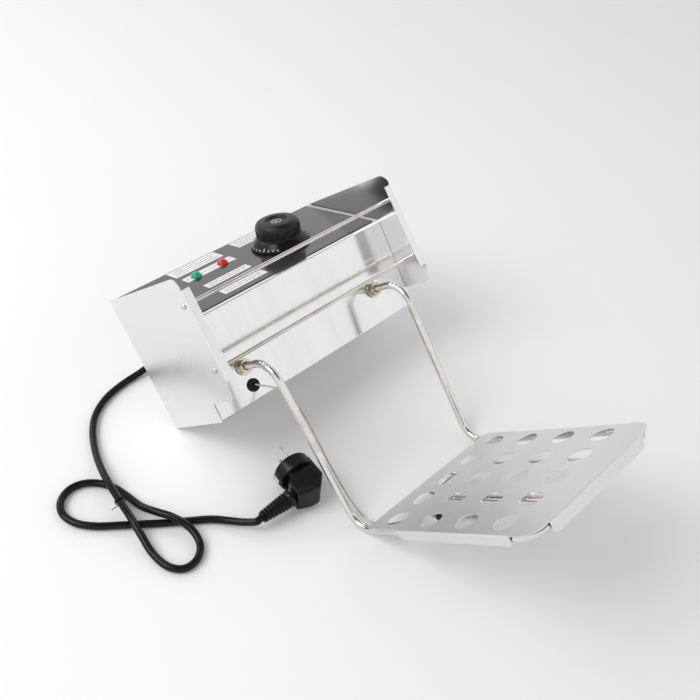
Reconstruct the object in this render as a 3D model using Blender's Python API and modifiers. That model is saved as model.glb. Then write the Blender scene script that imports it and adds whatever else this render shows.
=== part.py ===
"""Lift-out control head of a countertop electric deep fryer.

A stainless housing hangs on the rim of an oil tank.  Two legs of a mineral-insulated
heater leave its front, go down and run forward as a flat M under a perforated guard plate.
The head is stored lying tilted back, resting on the housing's lower rear edge and on
the heater's two rear bends.

The pieces are laid out in the upright working position, X to the right, Y to the rear
and Z up, with the zero point at the middle of the housing's lower rear edge.  The
empty called storage_tilt turns and moves them into the storage position.
Lengths are in metres.
"""
import math

import bmesh
import bpy
from mathutils import Matrix, Vector

# ---------------------------------------------------------------- driving dimensions
WIDTH = 0.270                 # over the two end caps
SHEET = 0.001                 # sheet metal
GAP = 0.0003                  # between touching pieces
DEPTH_BOTTOM = 0.0997         # housing depth at its foot
DEPTH_TOP = 0.1064            # housing depth where the front meets the panel
HEIGHT_BACK = 0.1442
HEIGHT_FRONT = 0.0968         # where the front face meets the sloping panel
EAR_DEPTH = 0.1459            # the end caps reach further forward than the housing
EAR_TOP = 0.1393
EAR_BOTTOM = 0.0368
EAR_NOTCH = 0.0190            # lower end of the cap's return, on the housing's front
EAR_RADIUS = 0.012
CAP_FLANGE = 0.009

ROD_RADIUS = 0.0020
ROD_UPPER = (-0.1370, 0.1135)     # y, z
ROD_LOWER = (-0.1340, 0.0500)

TUBE_RADIUS = 0.00375
EXIT_X = 0.0900               # heater exits on the front face
EXIT_Z = 0.0355
LEG_Y = -0.1500
LEG_BEND = 0.024
FOOT_BEND = 0.021
RUN_X = 0.0840                # outer runs under the guard plate
RUN_Z = -0.1470
RUN_FRONT = -0.3735
RUN_REAR = -0.1930            # rear bend of the middle loop
INNER_X = 0.0300
CORNER_BEND = 0.018

GUARD_HALF = 0.0890
GUARD_REAR = -0.1712
GUARD_FRONT = -0.3788
GUARD_SHEET = 0.0008
GUARD_TOP = RUN_Z + TUBE_RADIUS + GAP + GUARD_SHEET
GUARD_CORNER = 0.018
SIDE_FLANGE = 0.0098
SIDE_FLANGE_SPAN = (-0.3540, -0.2160)
FRONT_FLANGE = 0.0125
FRONT_FLANGE_HALF = 0.0665
HOLE_RADIUS = 0.0110
HOLE_X0, HOLE_DX, HOLE_COLUMNS = -0.0712, 0.0353, 5
HOLE_Y0, HOLE_DY, HOLE_ROWS = -0.1996, -0.0454, 4

KNOB_X, KNOB_S = 0.0425, 0.0590   # knob place: X, and distance down the panel
KNOB_SKIRT_R, KNOB_GRIP_R = 0.0320, 0.0238
KNOB_SKIRT_H, KNOB_H = 0.0095, 0.0270
SHAFT_R = 0.0030
OVERLAY_T = 0.0005
LAMP_S = 0.0400
LAMPS = {"green": -0.0560, "red": -0.0220}

GROMMET_X, GROMMET_Z = -0.0885, 0.0150
CORD_EXIT_X, CORD_EXIT_Z = -0.0750, 0.0700
RESET_X, RESET_Z = 0.0600, 0.0500

CORD_RADIUS = 0.0036
BUSHING_LENGTH = 0.024
PLUG_FACE = Vector((-0.0942, -0.1247, 0.0182))      # centre of the plug's face
PLUG_HEADING = math.radians(-10.0)                 # pins point along +Y, turned by this
PLUG_RADIUS = 0.0190

# ---------------------------------------------------------------- storage position
BEND_Y = LEG_Y - FOOT_BEND
BEND_Z = RUN_Z + FOOT_BEND
BEND_DISTANCE = math.hypot(BEND_Y, BEND_Z)
TILT = math.atan2(-BEND_Z, -BEND_Y) + math.asin((FOOT_BEND + TUBE_RADIUS) / BEND_DISTANCE)
REARMOST = HEIGHT_BACK * math.sin(TILT)
FOREMOST = GUARD_FRONT * math.cos(TILT) + (GUARD_TOP - FRONT_FLANGE) * math.sin(TILT)
MIDDLE = (REARMOST + FOREMOST) / 2

# ---------------------------------------------------------------- panel and front slopes
PANEL_TOP = Vector((0, 0, HEIGHT_BACK))
PANEL_FOOT = Vector((0, -DEPTH_TOP, HEIGHT_FRONT))
PANEL_DOWN = (PANEL_FOOT - PANEL_TOP).normalized()
PANEL_NORMAL = Vector((1, 0, 0)).cross(PANEL_DOWN) * -1
PANEL_LENGTH = (PANEL_FOOT - PANEL_TOP).length
PANEL_ANGLE = math.atan2(HEIGHT_BACK - HEIGHT_FRONT, DEPTH_TOP)
FRONT_NORMAL = Vector((0, -HEIGHT_FRONT, DEPTH_BOTTOM - DEPTH_TOP)).normalized()


def on_panel(x, down, above=0.0):
    """A point on the sloping panel: x, distance down from its rear edge, height above."""
    return Vector((x, 0, 0)) + PANEL_TOP + PANEL_DOWN * down + PANEL_NORMAL * above


def on_front(x, z, out=0.0):
    """A point on the housing's front face at height z, and out from it."""
    y = -DEPTH_BOTTOM + (DEPTH_BOTTOM - DEPTH_TOP) * z / HEIGHT_FRONT
    return Vector((x, y, z)) + FRONT_NORMAL * out


# ---------------------------------------------------------------- scene and collections
for old in list(bpy.data.objects):
    bpy.data.objects.remove(old, do_unlink=True)

parts = bpy.data.collections.new("fryer_control_head")
cutters = bpy.data.collections.new("cutters")
bpy.context.scene.collection.children.link(parts)
bpy.context.scene.collection.children.link(cutters)

storage_tilt = bpy.data.objects.new("storage_tilt", None)
storage_tilt.rotation_euler = (-TILT, 0, 0)
storage_tilt.location = (0, -MIDDLE, 0)
parts.objects.link(storage_tilt)

MATERIALS = {
    "stainless": ((0.80, 0.80, 0.81), 0.25, 1.0),
    "polished": ((0.86, 0.86, 0.87), 0.08, 1.0),
    "nickel": ((0.74, 0.71, 0.66), 0.25, 1.0),
    "brass": ((0.72, 0.62, 0.40), 0.30, 1.0),
    "copper": ((0.62, 0.40, 0.28), 0.35, 1.0),
    "overlay": ((0.075, 0.073, 0.077), 0.40, 0.0),
    "black_gloss": ((0.015, 0.015, 0.016), 0.20, 0.0),
    "black_rubber": ((0.020, 0.020, 0.020), 0.55, 0.0),
    "ceramic": ((0.85, 0.83, 0.78), 0.50, 0.0),
    "green_lens": ((0.02, 0.42, 0.20), 0.15, 0.0),
    "red_lens": ((0.65, 0.02, 0.03), 0.15, 0.0),
    "insulation": ((0.30, 0.32, 0.36), 0.50, 0.0),
}


def material(name):
    """The named Principled material, made on first use."""
    if name in bpy.data.materials:
        return bpy.data.materials[name]
    colour, roughness, metallic = MATERIALS[name]
    made = bpy.data.materials.new(name)
    made.use_nodes = True
    shader = made.node_tree.nodes["Principled BSDF"]
    shader.inputs["Base Color"].default_value = (*colour, 1)
    shader.inputs["Roughness"].default_value = roughness
    shader.inputs["Metallic"].default_value = metallic
    return made


# ---------------------------------------------------------------- building helpers
def add(name, data, finish, parent=storage_tilt, place=None):
    """Put data in the collection as a named object under parent, at place (a matrix)."""
    obj = bpy.data.objects.new(name, data)
    parts.objects.link(obj)
    obj.parent = parent
    if place is not None:
        obj.matrix_local = place
    data.materials.append(material(finish))
    return obj


def mesh_from(bm, name):
    """Turn a bmesh into a mesh with outward faces."""
    bmesh.ops.recalc_face_normals(bm, faces=bm.faces)
    mesh = bpy.data.meshes.new(name)
    bm.to_mesh(mesh)
    bm.free()
    return mesh


def box(name, low, high, finish, bevel=0.0, place=None, parent=storage_tilt):
    """A box between two corners, with its edges optionally rounded."""
    bm = bmesh.new()
    bmesh.ops.create_cube(bm, size=1.0)
    low, high = Vector(low), Vector(high)
    size = high - low
    bmesh.ops.scale(bm, vec=size, verts=bm.verts)
    bmesh.ops.translate(bm, vec=(low + high) / 2, verts=bm.verts)
    obj = add(name, mesh_from(bm, name), finish, parent, place)
    if bevel:
        rounding = obj.modifiers.new("edges", "BEVEL")
        rounding.width = bevel
        rounding.segments = 2
    return obj


def along(start, direction):
    """A matrix whose Z axis runs along direction from start."""
    turn = Vector(direction).to_track_quat("Z", "Y").to_matrix().to_4x4()
    return Matrix.Translation(start) @ turn


def rod(name, start, direction, radius, length, finish, sides=24, parent=storage_tilt):
    """A cylinder from start along direction."""
    bm = bmesh.new()
    bmesh.ops.create_cone(bm, cap_ends=True, segments=sides, radius1=radius, radius2=radius, depth=length)
    bmesh.ops.translate(bm, vec=(0, 0, length / 2), verts=bm.verts)
    obj = add(name, mesh_from(bm, name), finish, parent, along(start, direction))
    obj.data.shade_smooth()
    obj.data.set_sharp_from_angle(angle=math.radians(40))
    return obj


def turned(name, profile, place, finish, steps=32, closed=False, parent=storage_tilt):
    """A turned piece: the profile (radius, height) runs down its outer side."""
    bm = bmesh.new()
    verts = [bm.verts.new((r, 0, z)) for r, z in profile]
    for a, b in zip(verts, verts[1:]):
        bm.edges.new((a, b))
    if closed:
        bm.edges.new((verts[-1], verts[0]))
    mesh = bpy.data.meshes.new(name)
    bm.to_mesh(mesh)
    bm.free()
    obj = add(name, mesh, finish, parent, place)
    screw = obj.modifiers.new("turn", "SCREW")
    screw.steps = steps
    screw.render_steps = steps
    screw.use_merge_vertices = True
    screw.merge_threshold = 0.00001
    screw.use_smooth_shade = True
    return obj


def tube(name, points, radius, finish, fineness=2, parent=storage_tilt):
    """A round wire or tube through points, as a bevelled curve with closed ends."""
    curve = bpy.data.curves.new(name, "CURVE")
    curve.dimensions = "3D"
    curve.bevel_depth = radius
    curve.bevel_resolution = fineness
    curve.use_fill_caps = True
    spline = curve.splines.new("POLY")
    spline.points.add(len(points) - 1)
    for item, point in zip(spline.points, points):
        item.co = (*point, 1)
    return add(name, curve, finish, parent)


def rounded(points, radius, steps=5):
    """The polyline through points with each inner corner turned into an arc."""
    points = [Vector(p) for p in points]
    path = [points[0]]
    for before, corner, after in zip(points, points[1:], points[2:]):
        a = (before - corner).normalized()
        b = (after - corner).normalized()
        half = a.angle(b) / 2
        reach = radius / math.tan(half)
        centre = corner + (a + b).normalized() * radius / math.sin(half)
        first = (corner + a * reach - centre).normalized()
        last = (corner + b * reach - centre).normalized()
        for i in range(steps + 1):
            path.append(centre + first.slerp(last, i / steps) * radius)
    return path + [points[-1]]


def smooth(points, per_span):
    """A smooth curve through points (Catmull-Rom), with per_span steps in each span."""
    points = [Vector(p) for p in points]
    ends = [points[0] * 2 - points[1]] + points + [points[-1] * 2 - points[-2]]
    path = []
    for a, b, c, d in zip(ends, ends[1:], ends[2:], ends[3:]):
        for i in range(per_span):
            t = i / per_span
            path.append((b * 2 + (c - a) * t + (a * 2 - b * 5 + c * 4 - d) * t * t
                         + (b * 3 - a - c * 3 + d) * t ** 3) / 2)
    return path + [points[-1]]


def flat(name, outline, thickness, place, finish):
    """A flat piece: an outline in its own XY plane, thickened to both sides of it."""
    curve = bpy.data.curves.new(name + "_outline", "CURVE")
    curve.dimensions = "2D"
    curve.fill_mode = "BOTH"
    curve.extrude = thickness / 2
    spline = curve.splines.new("POLY")
    spline.points.add(len(outline) - 1)
    for item, (u, v) in zip(spline.points, outline):
        item.co = (u, v, 0, 1)
    spline.use_cyclic_u = True
    sketch = bpy.data.objects.new(name + "_sketch", curve)
    parts.objects.link(sketch)
    bpy.context.view_layer.update()
    bm = bmesh.new()
    flat_mesh = bpy.data.meshes.new_from_object(sketch.evaluated_get(bpy.context.evaluated_depsgraph_get()))
    bm.from_mesh(flat_mesh)
    bmesh.ops.remove_doubles(bm, verts=bm.verts, dist=0.00001)
    bpy.data.objects.remove(sketch, do_unlink=True)
    return add(name, mesh_from(bm, name), finish, storage_tilt, place)


def corner_arc(centre, radius, start, end, steps=5):
    """Points of an arc about centre, angles in degrees."""
    angles = [math.radians(start + (end - start) * i / steps) for i in range(steps + 1)]
    return [(centre[0] + radius * math.cos(a), centre[1] + radius * math.sin(a)) for a in angles]


def cut(target, cutter, operation="DIFFERENCE"):
    """Cut cutter out of target, or join it on, and hide the cutter."""
    parts.objects.unlink(cutter)
    cutters.objects.link(cutter)
    cutter.hide_render = True
    cutter.display_type = "WIRE"
    boolean = target.modifiers.new(cutter.name, "BOOLEAN")
    boolean.operation = operation
    boolean.solver = "EXACT"
    boolean.object = cutter


def drill(target, name, centre, direction, radius, sides=24):
    """A round hole through target at centre, along direction."""
    reach = 0.006
    start = Vector(centre) - Vector(direction).normalized() * reach
    cut(target, rod(name, start, direction, radius, reach * 2, "stainless", sides))


def folded_sheet(name, section, x_low, x_high, thickness, finish):
    """A sheet folded along X: section is its outer side as (y, z), swept in X."""
    bm = bmesh.new()
    near = [bm.verts.new((x_low, y, z)) for y, z in section]
    edges = [bm.edges.new(pair) for pair in zip(near, near[1:])]
    swept = bmesh.ops.extrude_edge_only(bm, edges=edges)["geom"]
    moved = [item for item in swept if isinstance(item, bmesh.types.BMVert)]
    bmesh.ops.translate(bm, vec=(x_high - x_low, 0, 0), verts=moved)
    mesh = bpy.data.meshes.new(name)
    bm.to_mesh(mesh)
    bm.free()
    obj = add(name, mesh, finish)
    wall = obj.modifiers.new("sheet", "SOLIDIFY")
    wall.thickness = thickness
    wall.offset = -1.0
    wall.use_even_offset = True
    return obj


# ---------------------------------------------------------------- housing
def housing():
    """Folded front and panel, rear cover, floor, end caps, rods and their screws."""
    inner = WIDTH / 2 - SHEET - GAP
    lip = 0.012
    section = [(-DEPTH_BOTTOM + lip, 0.0), (-DEPTH_BOTTOM, 0.0), (-DEPTH_TOP, HEIGHT_FRONT),
               (0.0, HEIGHT_BACK), (0.0, HEIGHT_BACK - lip)]
    wrap = folded_sheet("front_and_panel", section, -inner, inner, SHEET, "stainless")
    for side, x in (("left", -EXIT_X), ("right", EXIT_X)):
        drill(wrap, "exit_hole_" + side, on_front(x, EXIT_Z), FRONT_NORMAL, TUBE_RADIUS + GAP)
    drill(wrap, "grommet_hole", on_front(GROMMET_X, GROMMET_Z), FRONT_NORMAL, 0.0045)
    drill(wrap, "shaft_hole", on_panel(KNOB_X, KNOB_S), PANEL_NORMAL, SHAFT_R + 0.0015)
    for colour, x in LAMPS.items():
        drill(wrap, "lamp_hole_" + colour, on_panel(x, LAMP_S), PANEL_NORMAL, 0.0043)

    cover_top = HEIGHT_BACK - lip - 0.001
    cover = box("rear_cover", (-inner, -SHEET, SHEET * 2), (inner, 0, cover_top), "stainless")
    drill(cover, "cord_hole", (CORD_EXIT_X, 0, CORD_EXIT_Z), (0, 1, 0), 0.0065)
    drill(cover, "reset_hole", (RESET_X, 0, RESET_Z), (0, 1, 0), 0.0045)
    for i, x in enumerate((-0.120, 0.120)):
        for j, z in enumerate((0.012, cover_top - 0.010)):
            name = "cover_screw_%d" % (1 + i * 2 + j)
            drill(cover, name + "_hole", (x, 0, z), (0, 1, 0), 0.0018, 12)
            screw(name, (x, 0, z), (0, 1, 0), 0.006)
    floor_front = -DEPTH_BOTTOM + lip + 0.0005
    box("floor_plate", (-inner, floor_front, 0), (inner, -GAP, SHEET), "stainless")
    for name, side in (("end_cap_left", -1), ("end_cap_right", 1)):
        end_cap(name, side)
    rod_length = 2 * inner - 2 * GAP
    for name, (y, z) in (("upper_rod", ROD_UPPER), ("lower_rod", ROD_LOWER)):
        rod(name, (-rod_length / 2, y, z), (1, 0, 0), ROD_RADIUS, rod_length, "nickel", 16)


def screw(name, centre, outward, length):
    """A pan-head screw whose head sits on centre and whose shank goes inwards."""
    head_r, head_h, shank_r = 0.0030, 0.0016, 0.0014
    profile = [(0, head_h + GAP), (head_r * 0.7, head_h * 0.85 + GAP), (head_r, head_h * 0.4 + GAP),
               (head_r, GAP), (shank_r, GAP), (shank_r, -length), (0, -length)]
    turned(name, profile, along(centre, outward), "nickel", 16)


def end_cap(name, side):
    """A side plate whose ear reaches forward, with a flange along the ear's front."""
    r = EAR_RADIUS
    outline = [(0, 0), (0, HEIGHT_BACK)]
    outline += corner_arc((-EAR_DEPTH + r, EAR_TOP - r + 0.0006), r, 90, 180)
    outline += corner_arc((-EAR_DEPTH + 0.0045, EAR_BOTTOM), 0.0045, 180, 235, 3)
    notch_radius = 0.030
    sweep_centre = (-EAR_DEPTH + 0.0145, EAR_BOTTOM + 0.0115)
    outline += corner_arc(sweep_centre, notch_radius - 0.0005, 252, 283, 4)
    outline += [(-DEPTH_BOTTOM, EAR_NOTCH), (-DEPTH_BOTTOM, 0)]
    x = side * (WIDTH / 2 - SHEET / 2)
    to_side = Matrix(((0, 0, 1, x), (1, 0, 0, 0), (0, 1, 0, 0), (0, 0, 0, 1)))
    cap = flat(name, outline, SHEET, to_side, "polished")
    outer = side * WIDTH / 2
    inner = side * (WIDTH / 2 - CAP_FLANGE)
    flange = box(name + "_flange", (min(outer, inner), -EAR_DEPTH, EAR_BOTTOM + 0.001),
                 (max(outer, inner), -EAR_DEPTH + SHEET, EAR_TOP - r), "polished")
    cut(cap, flange, "UNION")
    for row, (y, z) in (("upper", ROD_UPPER), ("lower", ROD_LOWER)):
        label = "%s_rod_screw_%s" % (row, "left" if side < 0 else "right")
        drill(cap, label + "_hole", (x, y, z), (side, 0, 0), 0.0018, 12)
        screw(label, (outer, y, z), (side, 0, 0), SHEET)


# ---------------------------------------------------------------- controls
def controls():
    """Panel overlay, knob, shaft, thermostat, lamps and the thermal cut-out."""
    panel_place = Matrix.Translation(PANEL_TOP) @ Matrix.Rotation(PANEL_ANGLE, 4, "X")
    side_margin = 0.0045
    overlay = box("panel_overlay", (-WIDTH / 2 + side_margin, -PANEL_LENGTH + 0.0055, GAP),
                  (WIDTH / 2 - side_margin, -0.003, GAP + OVERLAY_T), "overlay", place=panel_place)
    drill(overlay, "overlay_shaft_hole", on_panel(KNOB_X, KNOB_S), PANEL_NORMAL, SHAFT_R + 0.0015)
    for colour, x in LAMPS.items():
        drill(overlay, "overlay_hole_" + colour, on_panel(x, LAMP_S), PANEL_NORMAL, 0.0043)
        lamp(colour, x)

    knob_place = along(on_panel(KNOB_X, KNOB_S, OVERLAY_T + 2 * GAP), PANEL_NORMAL)
    lift, wall, bore = 0.0008, 0.0020, SHAFT_R + GAP
    profile = [(0, KNOB_H - 0.0025), (0.0100, KNOB_H - 0.0025), (0.0115, KNOB_H), (0.0205, KNOB_H - 0.0004),
               (KNOB_GRIP_R - 0.0006, KNOB_H - 0.0035), (KNOB_GRIP_R, KNOB_SKIRT_H + 0.0005),
               (KNOB_GRIP_R + 0.0016, KNOB_SKIRT_H - 0.0005), (KNOB_SKIRT_R, lift + 0.0015),
               (KNOB_SKIRT_R, lift), (KNOB_SKIRT_R - wall, lift), (KNOB_GRIP_R - wall, KNOB_SKIRT_H - wall),
               (0.0070, KNOB_SKIRT_H - wall), (0.0060, lift), (bore, lift), (bore, 0.0160), (0, 0.0160)]
    turned("knob", profile, knob_place, "black_gloss", 40)
    body_top = -0.0100
    shaft_start = on_panel(KNOB_X, KNOB_S, body_top + GAP)
    rod("thermostat_shaft", shaft_start, PANEL_NORMAL, SHAFT_R, 0.0155 - body_top, "nickel", 16)
    case_place = panel_place @ Matrix.Translation((KNOB_X, -KNOB_S, 0))
    box("thermostat_case", (-0.021, -0.018, body_top - 0.024), (0.021, 0.018, body_top),
        "ceramic", 0.002, case_place)
    bracket = box("thermostat_bracket", (-0.024, -0.022, body_top + 2 * GAP),
                  (0.024, 0.022, -SHEET - GAP), "stainless", place=case_place)
    cavity = box("bracket_cavity", (-0.0228, -0.030, body_top), (0.0228, 0.030, -SHEET - 0.0015),
                 "stainless", place=case_place)
    cut(bracket, cavity)
    drill(bracket, "bracket_hole", on_panel(KNOB_X, KNOB_S, -0.002), PANEL_NORMAL, SHAFT_R + 0.0015)

    rear = -SHEET - GAP
    box("thermal_cutout", (RESET_X - 0.016, rear - 0.020, RESET_Z - 0.012),
        (RESET_X + 0.016, rear - 0.003, RESET_Z + 0.012), "black_rubber", 0.001)
    button = [(0, 0.0075), (0.0030, 0.0075), (0.0036, 0.0068), (0.0036, 0.0), (0, 0.0)]
    turned("reset_button", button, along((RESET_X, rear - 0.0007, RESET_Z), (0, 1, 0)), "red_lens", 20)


def lamp(colour, x):
    """A neon lamp: its domed lens and stem, and the push nut behind the panel."""
    stem, dome, depth = 0.0040, 0.0058, 0.020
    base = OVERLAY_T + 2 * GAP
    profile = [(0, base + 0.0046), (dome * 0.45, base + 0.0042), (dome * 0.80, base + 0.0028),
               (dome, base + 0.0010), (dome, base), (stem, base), (stem, -depth), (0, -depth)]
    turned(colour + "_lamp", profile, along(on_panel(x, LAMP_S), PANEL_NORMAL), colour + "_lens", 24)
    ring = [(stem + 0.0030, -0.0016), (stem + 0.0030, -0.0028), (stem + GAP, -0.0028), (stem + GAP, -0.0016)]
    turned(colour + "_lamp_nut", ring, along(on_panel(x, LAMP_S), PANEL_NORMAL), "nickel", 20, True)


# ---------------------------------------------------------------- heater and guard
def heater():
    """The M-shaped heater with its nuts and terminals, and the guard plate over it."""
    entry = 0.012
    path = [on_front(-EXIT_X, EXIT_Z, -entry), Vector((-EXIT_X, LEG_Y, EXIT_Z)),
            Vector((-RUN_X, LEG_Y, RUN_Z)), Vector((-RUN_X, RUN_FRONT, RUN_Z)),
            Vector((-INNER_X, RUN_FRONT, RUN_Z)), Vector((-INNER_X, RUN_REAR, RUN_Z))]
    mirrored = [Vector((-p.x, p.y, p.z)) for p in reversed(path)]
    path[0].z = EXIT_Z
    mirrored[-1].z = EXIT_Z
    bends = [LEG_BEND, FOOT_BEND, CORNER_BEND, CORNER_BEND, CORNER_BEND]
    centreline = bent(path + mirrored, bends + bends[::-1])
    tube("heater_tube", centreline, TUBE_RADIUS, "nickel", 4)
    for side, x in (("left", -EXIT_X), ("right", EXIT_X)):
        fit = TUBE_RADIUS + GAP
        face = Vector((x, on_front(x, EXIT_Z).y, EXIT_Z))
        out = Vector((0, -1, 0))
        ring = [(0.0085, 0.0019), (0.0085, 0.0009), (fit, 0.0009), (fit, 0.0019)]
        turned("heater_washer_" + side, ring, along(face, out), "brass", 24, True)
        nut = rod("heater_nut_" + side, face + out * 0.0022, out, 0.0072, 0.0050, "brass", 6)
        drill(nut, "nut_bore_" + side, face + out * 0.004, out, fit)
        inner_nut = rod("heater_inner_nut_" + side, face - out * 0.0058, out, 0.0072, 0.0040, "brass", 6)
        drill(inner_nut, "inner_nut_bore_" + side, face - out * 0.004, out, fit)
        stub_end = path[0].y + GAP
        pin = [(0, 0.020), (0.0011, 0.020), (0.0011, 0.008), (0.0036, 0.008), (0.0036, 0), (0, 0)]
        turned("heater_terminal_" + side, pin, along((x, stub_end, EXIT_Z), (0, 1, 0)), "ceramic", 16)
    guard_plate()


def bent(points, radii, steps=5):
    """The polyline through points, each inner corner bent to its own radius."""
    path = [points[0]]
    for before, corner, after, radius in zip(points, points[1:], points[2:], radii):
        path += rounded([before, corner, after], radius, steps)[1:-1]
    return path + [points[-1]]


def guard_plate():
    """A perforated plate with side and front flanges that drop outside the heater."""
    r = GUARD_CORNER
    rear_r = 0.006
    half = GUARD_HALF
    outline = corner_arc((half - rear_r, GUARD_REAR - rear_r), rear_r, 0, 90, 3)
    outline += corner_arc((-half + rear_r, GUARD_REAR - rear_r), rear_r, 90, 180, 3)
    outline += corner_arc((-half + r, GUARD_FRONT + r), r, 180, 270)
    outline += corner_arc((half - r, GUARD_FRONT + r), r, 270, 360)
    middle = GUARD_TOP - GUARD_SHEET / 2
    plate = flat("guard_plate", outline, GUARD_SHEET, Matrix.Translation((0, 0, middle)), "stainless")
    side_low = GUARD_TOP - SIDE_FLANGE
    back, front = SIDE_FLANGE_SPAN[1], SIDE_FLANGE_SPAN[0]
    for name, outer in (("left", -half), ("right", half)):
        wall = outer - math.copysign(GUARD_SHEET, outer)
        low = (min(outer, wall), front, side_low)
        high = (max(outer, wall), back, GUARD_TOP)
        cut(plate, box("guard_flange_" + name, low, high, "stainless"), "UNION")
    drop = FRONT_FLANGE
    tip = 0.006
    shape = [(-FRONT_FLANGE_HALF, 0), (-FRONT_FLANGE_HALF, -drop + tip)]
    shape += corner_arc((-FRONT_FLANGE_HALF + tip, -drop + tip), tip, 180, 270, 3)
    shape += corner_arc((FRONT_FLANGE_HALF - tip, -drop + tip), tip, 270, 360, 3)
    shape += [(FRONT_FLANGE_HALF, 0)]
    upright = Matrix(((1, 0, 0, 0), (0, 0, -1, GUARD_FRONT + GUARD_SHEET / 2), (0, 1, 0, GUARD_TOP), (0, 0, 0, 1)))
    cut(plate, flat("guard_flange_front", shape, GUARD_SHEET, upright, "stainless"), "UNION")
    for i in range(HOLE_COLUMNS):
        for j in range(HOLE_ROWS):
            centre = (HOLE_X0 + i * HOLE_DX, HOLE_Y0 + j * HOLE_DY, middle)
            drill(plate, "guard_hole_%d_%d" % (i, j), centre, (0, 0, 1), HOLE_RADIUS, 20)


def sensing():
    """Grommet, capillary, bulb and the clip that holds the bulb between the runs."""
    place = Vector(on_front(GROMMET_X, GROMMET_Z))
    groove = SHEET + GAP
    bore = 0.0018
    ring = [(0.0066, 0.0004), (0.0060, 0.0028), (bore, 0.0028), (bore, -groove - 0.003),
            (0.0042, -groove - 0.003), (0.0042, 0.0004)]
    turned("grommet", ring[::-1], along(place, FRONT_NORMAL), "black_rubber", 24, True)
    bulb_x, bulb_z = -0.0560, RUN_Z - 0.0008
    bulb_rear, bulb_length = -0.2300, 0.085
    leg_x = -RUN_X + 0.0075
    threaded = [place + FRONT_NORMAL * d for d in (-0.016, -0.010, -0.005, 0.0, 0.004, 0.008)]
    route = threaded + [(-0.0760, LEG_Y + 0.022, -0.002),
             (-0.0800, LEG_Y + 0.0035, -0.030), (-0.0785, LEG_Y + 0.004, -0.080),
             (leg_x, LEG_Y + 0.0025, -0.118), (leg_x + 0.001, LEG_Y - 0.008, -0.1420),
             (leg_x + 0.004, LEG_Y - 0.030, bulb_z), (bulb_x - 0.008, -0.205, bulb_z),
             (bulb_x, bulb_rear + 0.010, bulb_z), (bulb_x, bulb_rear + GAP, bulb_z)]
    tube("capillary", smooth(route, 4), 0.0008, "copper", 1)
    capsule = [(0, bulb_length), (0.0018, bulb_length - 0.0005), (0.0030, bulb_length - 0.003),
               (0.0030, 0.003), (0.0014, 0), (0, 0)]
    turned("bulb", capsule, along((bulb_x, bulb_rear, bulb_z), (0, -1, 0)), "copper", 16)
    inner, outer = 0.0033, 0.0043
    clip_ring = [(outer, 0.012), (outer, 0), (inner, 0), (inner, 0.012)]
    turned("bulb_clip", clip_ring, along((bulb_x, bulb_rear - 0.008, bulb_z), (0, -1, 0)),
           "black_gloss", 20, True)


# ---------------------------------------------------------------- wiring inside
def wiring():
    """Terminal block and the insulated leads between it, the heater and the thermostat."""
    block_low = Vector((-0.045, -0.042, SHEET + GAP))
    box("terminal_block", block_low, block_low + Vector((0.036, 0.018, 0.016)), "ceramic", 0.001)
    top = block_low.z + 0.016 + 0.001
    lead = 0.0012
    case_low = on_panel(KNOB_X, KNOB_S, -0.040)
    heater_left = Vector((-EXIT_X, -0.064, EXIT_Z))
    heater_right = Vector((EXIT_X, -0.064, EXIT_Z))
    blocks = [Vector((block_low.x + d, -0.033, top)) for d in (0.006, 0.018, 0.030)]
    routes = {
        "lead_heater_left": [blocks[0], (-0.042, -0.034, 0.040), (-0.070, -0.050, 0.050), heater_left],
        "lead_heater_right": [case_low + Vector((0.010, 0, -0.002)), (0.062, -0.058, 0.066),
                              (0.082, -0.054, 0.055), heater_right],
        "lead_thermostat": [blocks[2], (-0.008, -0.036, 0.045), (0.020, -0.040, 0.058),
                            case_low + Vector((-0.008, 0, -0.002))],
    }
    for name, route in routes.items():
        tube(name, smooth(route, 5), lead, "insulation", 1)


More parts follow.
